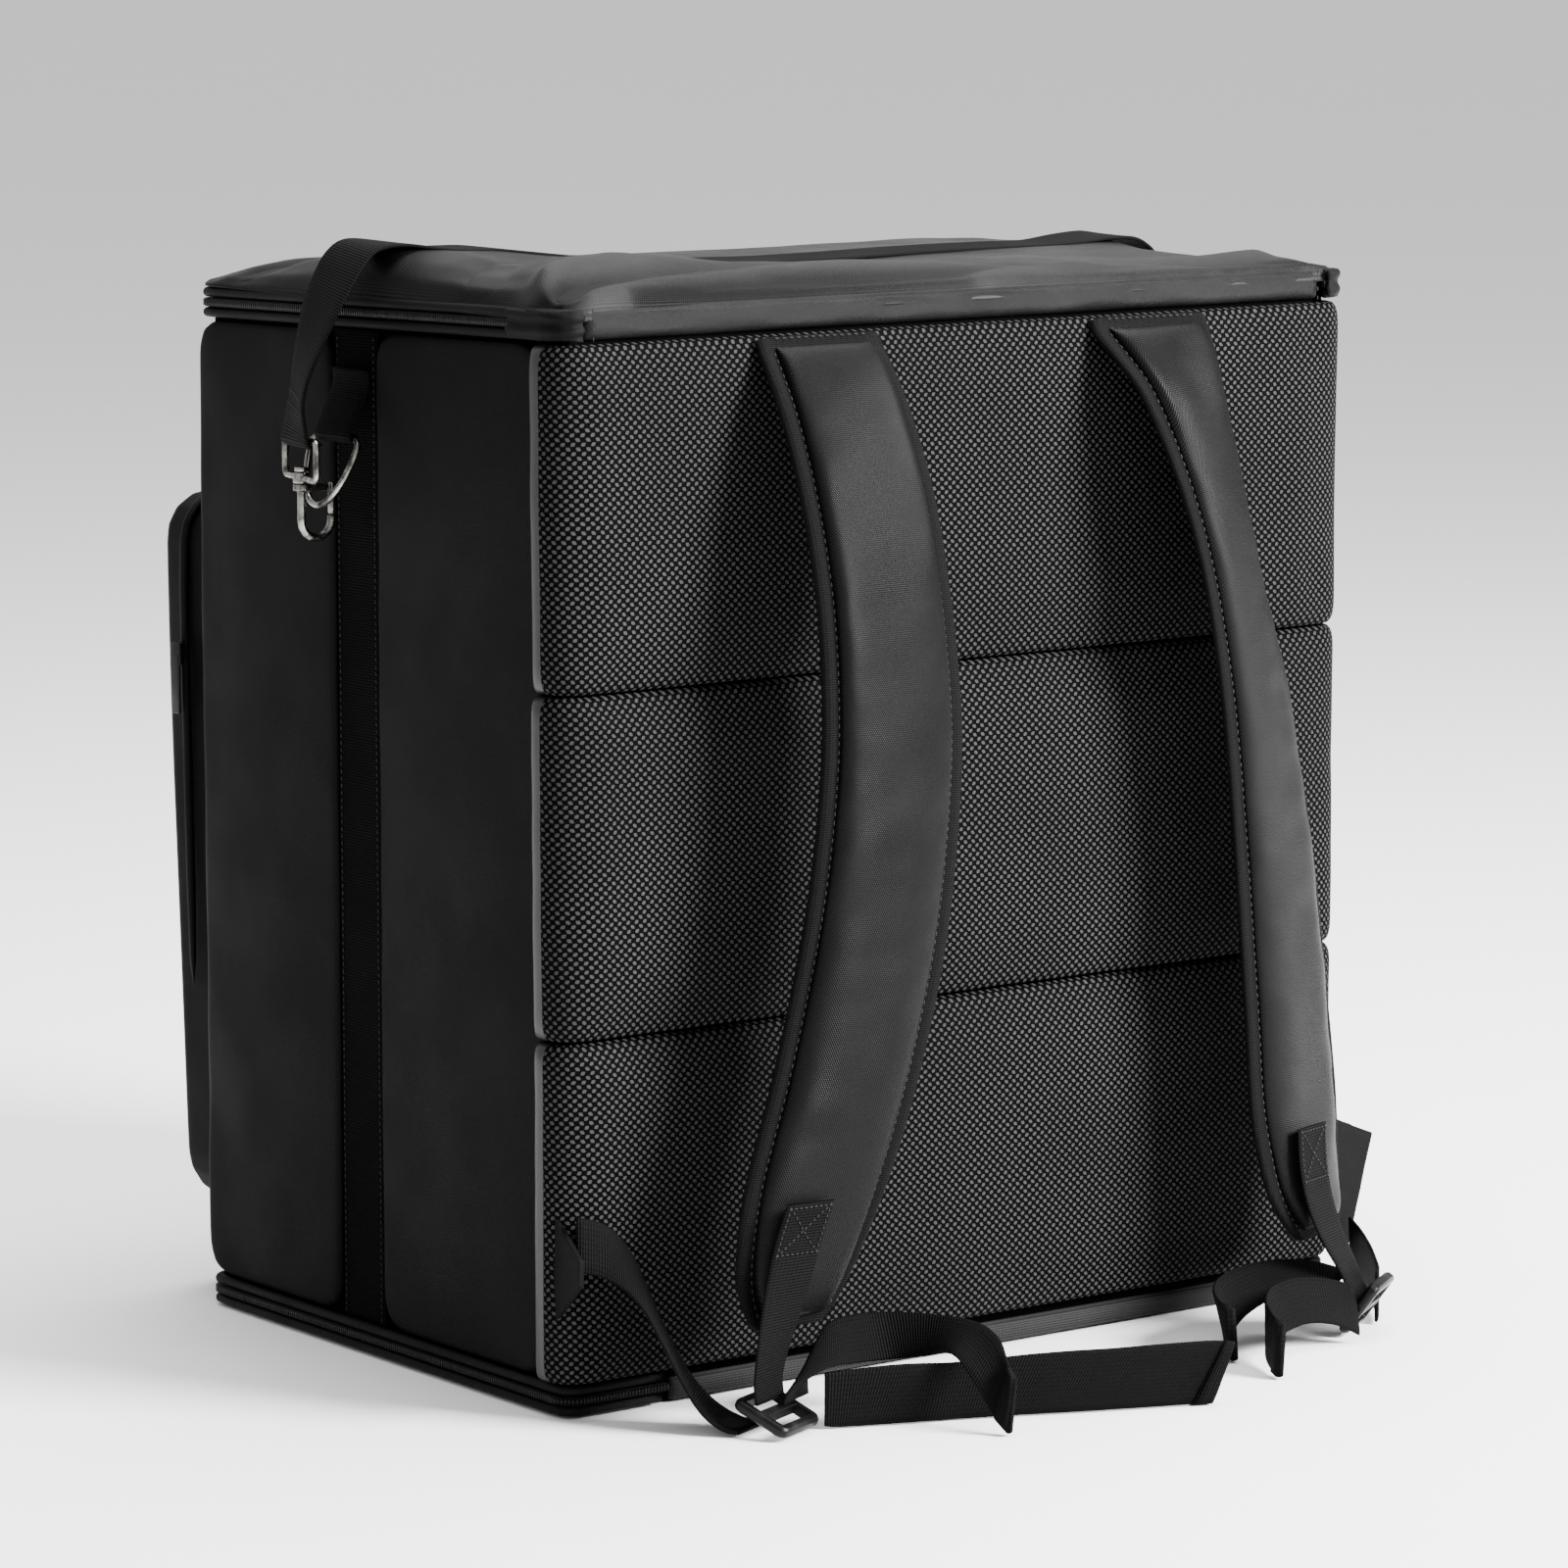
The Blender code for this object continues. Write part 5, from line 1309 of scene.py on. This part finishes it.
@dataclass
class ShoulderStraps:
    """Both shoulder straps: bound base, raised cushion, stitched binding."""

    stitches: StitchRows
    base: float = 0.0040
    binding: float = 0.0085
    rise: float = 0.0090
    step: float = 0.004

    def build(self) -> None:
        """Build both straps and their stitches."""
        seams: list[list[Vector]] = []
        for side in Side:
            seams += self.build_one(side)
        item = self.stitches.run("strap_stitches", seams, Wardrobe.of(THREAD, "sewing_thread"),
                                 Pitch=0.0040, Length=0.0027, Radius=0.00045)
        Piece("strap_stitches", THREAD, "sewing_thread", "binding").join(item)

    def build_one(self, side: Side) -> list[list[Vector]]:
        """Build one strap.

        Args:
            side: The strap's side.

        Returns:
            The lines of its binding's stitches.
        """
        node = f"shoulder_strap_{side.word}"
        rings = rings_from(node, 8, lowest_end(8))
        sections = smooth_sections(read_sections(rings, Vector((0, -1, 0))), self.step)
        half = self.base / 2
        profile = [(-0.985, half * 0.75), (-0.93, half * 1.35), (-0.86, half * 1.45), (-0.79, half * 1.1),
                   (-0.5, half), (0.5, half), (0.79, half * 1.1), (0.86, half * 1.45), (0.93, half * 1.35),
                   (0.985, half * 0.75), (1.0, 0.0), (0.985, -half * 0.75), (0.93, -half), (0.0, -half),
                   (-0.93, -half), (-0.985, -half * 0.75), (-1.0, 0.0)]
        item = subdivide(sweep(node, sections, profile))
        Piece(node + "_binding", BINDING, "binding_tape", "binding", (node,)).join(item)
        self.build_cushion(side, sections)
        lines = []
        for share in (-0.80, 0.80):
            lines.append([s.centre + s.across * share * s.half + s.out * (half * 1.35) for s, _ in sections[3:-3]])
        for index in (-2, -3):
            s = sections[index][0]
            lines.append([s.centre + s.across * share * s.half + s.out * (half + 0.0006) for share in (-0.7, 0.7)])
        return lines

    def build_cushion(self, side: Side, sections: Sequence[tuple[Section, float]]) -> None:
        """Build the strap's padded core on its base.

        Args:
            side: The strap's side.
            sections: The base's smooth sections with their length along.
        """
        node = f"shoulder_cushion_{side.word}"
        inner = sections[2:-2]
        shares = [-1.0, -0.985, -0.94, -0.87, -0.76, -0.60, -0.40, -0.20, 0.0, 0.20, 0.40, 0.60, 0.76, 0.87, 0.94,
                  0.985, 1.0]
        seed = 1.5 if side is Side.LEFT else 6.5

        def spot(share: float, index: float, is_outer: bool) -> Vector:
            """A place on the cushion, by share across and section number."""
            section, along = inner[round(index)]
            half = section.half - self.binding
            out = self.base / 2 + 0.0005
            if is_outer:
                ends = min(min(index, len(inner) - 1 - index) * self.step / 0.012, 1.0)
                rise = (1 - abs(share) ** 4.5) ** 0.5 * math.sqrt(1 - (1 - ends) ** 2)
                out += 0.0014 + (self.rise - 0.0030) * rise
                place = Vector((share * half, along, 0))
                out += rise * (0.0007 * soft_noise(place, 0.03, seed) + 0.0006 * soft_noise(
                    Vector((place.x * 0.5, place.y, 0)), 0.014, seed))
            return section.centre + section.across * share * half + section.out * out

        item, sewn = closed_pad(node, shares, [float(index) for index in range(len(inner))], spot)
        layer = item.data.uv_layers["UVMap"]
        for loop in item.data.loops:
            index = loop.vertex_index % (len(shares) * len(inner))
            section, along = inner[index // len(shares)]
            layer.data[loop.index].uv = (shares[index % len(shares)] * section.half, along)
        inflate(item, sewn, 0.0016, 3.0)
        Piece(node + "_cloth", STRAP_CLOTH, "strap_cloth", "padded_cloth", (node,), fill=0.8).join(subdivide(item))


@dataclass(frozen=True)
class Ribbon:
    """A flat webbing that stands for one solid."""

    node: str
    width: float
    finish: ClothFinish = WEBBING
    finish_name: str = "webbing"
    thickness: float = 0.0018

    def sections(self) -> list[tuple[Section, float]]:
        """The webbing's smooth sections, read from its solid."""
        rings = rings_from(self.node, 4, webbing_end(self.width, self.thickness))
        return smooth_sections(read_sections(rings), 0.0028)

    def build(self) -> list[tuple[Section, float]]:
        """Build the webbing and return its sections."""
        sections = self.sections()
        item = sweep(self.node, sections, flat_profile(self.thickness))
        Piece(self.node + "_band", self.finish, self.finish_name, "webbing", (self.node,)).join(item)
        return sections


@dataclass
class Harness:
    """The thin webbings, their buckles, box stitches, and the corner tabs."""

    stitches: StitchRows
    width: float = 0.025
    hem_length: float = 0.0085
    hemmed: dict[str, bool] = field(default_factory=lambda: {
        "strap_tail_left": False, "strap_tail_right": True, "belt_tail_left": False, "belt_tail_right": True})

    def build(self) -> None:
        """Build every webbing of the harness, then buckles, tabs and stitches."""
        seams: list[list[Vector]] = []
        for node in ("lower_webbing_left", "lower_webbing_right", "strap_tail_left", "strap_tail_right",
                     "belt_tail_left", "belt_tail_right"):
            self.hem(node, Ribbon(node, self.width).build())
        for side in Side:
            sections = Ribbon(f"strap_webbing_{side.word}", self.width).build()
            seams += self.box_stitch(sections, 0.026)
            self.build_buckle(side)
            self.build_corner_tab(side)
        item = self.stitches.run("webbing_stitches", seams, Wardrobe.of(THREAD, "sewing_thread"),
                                 Pitch=0.0026, Length=0.0020, Radius=0.00040)
        Piece("webbing_stitches", THREAD, "sewing_thread", "webbing").join(item)

    def hem(self, node: str, sections: Sequence[tuple[Section, float]]) -> None:
        """Roll a small hem at the free end of a hanging tail.

        Args:
            node: The tail's solid.
            sections: The tail's sections from one end to the other.
        """
        if node not in self.hemmed:
            return
        run = list(sections if self.hemmed[node] else reversed(sections))
        rolled = [pair for pair in run if abs(pair[1] - run[0][1]) <= self.hem_length]
        profile = [(share * 1.02, out * 2.1) for share, out in flat_profile(0.0022)]
        Piece(node + "_hem", WEBBING, "webbing", "webbing").join(sweep(node + "_hem", rolled, profile))

    def box_stitch(self, sections: Sequence[tuple[Section, float]], length: float) -> list[list[Vector]]:
        """The lines of a box with a cross at the top end of a webbing.

        Args:
            sections: The webbing's sections.
            length: The box's length.

        Returns:
            The box's outline and its two diagonals.
        """
        run = [section for section, _ in sections]
        if run[0].centre.z < run[-1].centre.z:
            run.reverse()
        picked = [run[0]]
        travelled = 0.0
        for before, after in zip(run, run[1:]):
            travelled += (after.centre - before.centre).length
            if travelled > length:
                break
            picked.append(after)

        def spot(section: Section, share: float) -> Vector:
            """A place on the webbing's outer face."""
            out = section.out if section.out.y < 0 else -section.out
            return section.centre + section.across * share * section.half * 0.84 + out * 0.0011

        inner = picked[1:]
        last = len(inner) - 1
        edges = [[spot(section, share) for section in inner] for share in (-1, 1)]
        ends = [[spot(inner[0], -1), spot(inner[0], 1)], [spot(inner[-1], -1), spot(inner[-1], 1)]]
        cross = [[spot(section, sign * (2 * index / last - 1)) for index, section in enumerate(inner)]
                 for sign in (-1, 1)]
        return edges + ends + cross

    def build_buckle(self, side: Side) -> None:
        """Build one ladder buckle with softened edges."""
        node = f"strap_buckle_{side.word}"
        item = node_copy(node)
        edge = item.modifiers.new("edge", "BEVEL")
        edge.width = 0.0007
        edge.segments = 3
        edge.angle_limit = math.radians(28)
        Piece(node + "_plate", PLASTIC, "black_plastic", "plastic", (node,)).join(plain_mesh(item))

    def build_corner_tab(self, side: Side) -> None:
        """Build one corner wing: a soft folded cloth."""
        node = f"corner_tab_{side.word}"
        item = node_copy(node)
        dense = item.modifiers.new("dense", "SUBSURF")
        dense.subdivision_type = "SIMPLE"
        dense.levels = 4
        dense.render_levels = 4
        plain_mesh(item)
        for vert in item.data.vertices:
            vert.co += vert.normal * 0.0005 * soft_noise(vert.co, 0.02, 3.0)
        item = add_box_uv(item)
        Piece(node + "_cloth", PADDED, "padded_cloth", "padded_cloth", (node,)).join(item)


@dataclass
class CarryStrap:
    """The wide webbing over the lid, the strips on both sides, and the ring keepers."""

    stitches: StitchRows
    wide: float = 0.036

    def build(self) -> None:
        """Build the wide webbings and the stitches at their sewn ends."""
        seams: list[list[Vector]] = []
        sections = Ribbon("carry_strap", self.wide).build()
        for run in (sections, sections[::-1]):
            seams.append(self.cross_seam(run, 0.024))
            seams.append(self.cross_seam(run, 0.029))
        for side in Side:
            Ribbon(f"side_strip_{side.word}", self.wide, STRIP, "strip_webbing").build()
            Ribbon(f"ring_keeper_{side.word}", 0.030).build()
        item = self.stitches.run("carry_stitches", seams, Wardrobe.of(THREAD, "sewing_thread"),
                                 Pitch=0.0026, Length=0.0020, Radius=0.00040)
        Piece("carry_stitches", THREAD, "sewing_thread", "webbing").join(item)

    def cross_seam(self, sections: Sequence[tuple[Section, float]], reach: float) -> list[Vector]:
        """A seam across the webbing at a length from its end, on its outer face."""
        start = sections[0][1]
        section = next(s for s, along in sections if abs(along - start) >= reach)
        out = section.out if section.out.x * section.centre.x > 0 else -section.out
        return [section.centre + section.across * share * section.half + out * 0.0011 for share in (-0.86, 0.86)]


@dataclass
class Fittings:
    """The metal rings, loop, hooks and gate."""

    voxel: float = 0.0005

    def build(self) -> None:
        """Build the rings from their solids, and the cast pieces with rounded joints."""
        for side in Side:
            node = f"d_ring_{side.word}"
            item = subdivide(node_copy(node), 2)
            Piece(node + "_wire", METAL, "dark_nickel", "metal", (node,)).join(item)
        self.build_cast("swivel_loop_left", "bag")
        self.build_cast("snap_hook_left", "hook")
        self.build_cast("snap_hook_right", "bag")
        item = node_copy("hook_gate_left")
        edge = item.modifiers.new("edge", "BEVEL")
        edge.width = 0.0003
        edge.segments = 2
        Piece("hook_gate_left_lever", METAL, "dark_nickel", "metal", ("hook_gate_left",), "gate").join(
            plain_mesh(item))

    def build_cast(self, node: str, body: str) -> None:
        """Round a cast metal piece where its parts meet.

        Args:
            node: The solid it stands for.
            body: The body it rides on.
        """
        item = node_copy(node)
        fine = item.modifiers.new("fine", "REMESH")
        fine.mode = "VOXEL"
        fine.voxel_size = self.voxel
        soft = item.modifiers.new("soft", "SMOOTH")
        soft.iterations = 3
        soft.factor = 0.5
        Piece(node + "_cast", METAL, "dark_nickel", "metal", (node,), body).join(plain_mesh(item))


@dataclass
class Seams:
    """Stitch lines on the body: along the strips and at both ends of the hinge band."""

    body: BodyFrame
    stitches: StitchRows

    def build(self) -> None:
        """Build the body's stitches as one piece."""
        lines: list[list[Vector]] = []
        for side in Side:
            strip_low, strip_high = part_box(f"side_strip_{side.word}")
            x = side.value * (self.body.half_x + 0.0003 + 0.0018 + 0.0003)
            for y in (strip_low.y + 0.0028, strip_high.y - 0.0028):
                lines.append([self.body.settled(Vector((x, y, z)))
                              for z in spaced(self.body.pad_low + 0.002, self.body.pad_high - 0.004, 0.02)])
        low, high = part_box("hinge_band")
        for x in (low.x + 0.003, high.x - 0.003):
            lines.append([Vector((x, low.y - 0.0002, z)) for z in (low.z + 0.001, high.z - 0.001)])
        item = self.stitches.run("body_stitches", lines, Wardrobe.of(THREAD, "sewing_thread"),
                                 Pitch=0.0034, Length=0.0024, Radius=0.00035)
        Piece("body_stitches", THREAD, "sewing_thread", "padded_cloth").join(item)


@dataclass
class Studio:
    """Floor, lights, surroundings and the camera."""

    eye: Place = (-1.90747, -2.54790, 0.723496)
    yaw: float = -36.931
    dip: float = 8.363
    lens: float = 150.68
    floor: float = 45.0
    key_power: float = 560.0
    top_power: float = 130.0
    world: float = 1.0

    def build(self) -> None:
        """Set the studio round the bag."""
        floor = mesh_object("studio_floor", [Vector((x * self.floor, y * self.floor, -0.0005)) for x, y in
                                             ((-1, -1), (1, -1), (1, 1), (-1, 1))], [(0, 1, 2, 3)])
        floor.data.materials.append(Wardrobe.of(FLOOR, "pale_floor"))
        self.build_light("key", (1.35, -2.25, 1.55), 1.1, self.key_power)
        self.build_light("top", (0.3, 0.2, 2.4), 1.6, self.top_power)
        world = bpy.data.worlds.new("studio")
        bpy.context.scene.world = world
        world.use_nodes = True
        light = world.node_tree.nodes["Background"]
        light.inputs["Color"].default_value = (1.0, 1.0, 1.0, 1.0)
        light.inputs["Strength"].default_value = self.world
        camera = bpy.data.cameras.new("camera")
        camera.lens = self.lens
        camera.sensor_width = 36.0
        camera.clip_start = 0.1
        camera.clip_end = 120.0
        eye = bpy.data.objects.new("camera", camera)
        eye.location = self.eye
        eye.rotation_euler = (math.radians(90 - self.dip), 0.0, math.radians(self.yaw))
        bpy.context.scene.collection.objects.link(eye)
        bpy.context.scene.camera = eye

    def build_light(self, name: str, place: Place, size: float, power: float) -> None:
        """Add a soft area light that faces the bag.

        Args:
            name: The light's name.
            place: Where it hangs.
            size: Its side.
            power: Its power in watts.
        """
        data = bpy.data.lights.new(name, "AREA")
        data.size = size
        data.energy = power
        item = bpy.data.objects.new(name, data)
        item.location = place
        item.rotation_euler = (Vector((0, 0, 0.25)) - Vector(place)).to_track_quat("-Z", "Y").to_euler()
        bpy.context.scene.collection.objects.link(item)


def main() -> None:
    """Build the bag's looks piece by piece, then the studio."""
    body = BodyFrame()
    stitches = StitchRows()
    Shell(body).build()
    SidePads(body).build()
    BackPads(body).build()
    Lid(body).build()
    Zips(body, CoilRows()).build()
    Pocket(body).build()
    ShoulderStraps(stitches).build()
    Harness(stitches).build()
    CarryStrap(stitches).build()
    Fittings().build()
    Seams(body, stitches).build()
    Studio().build()


if __name__ == "__main__":
    main()
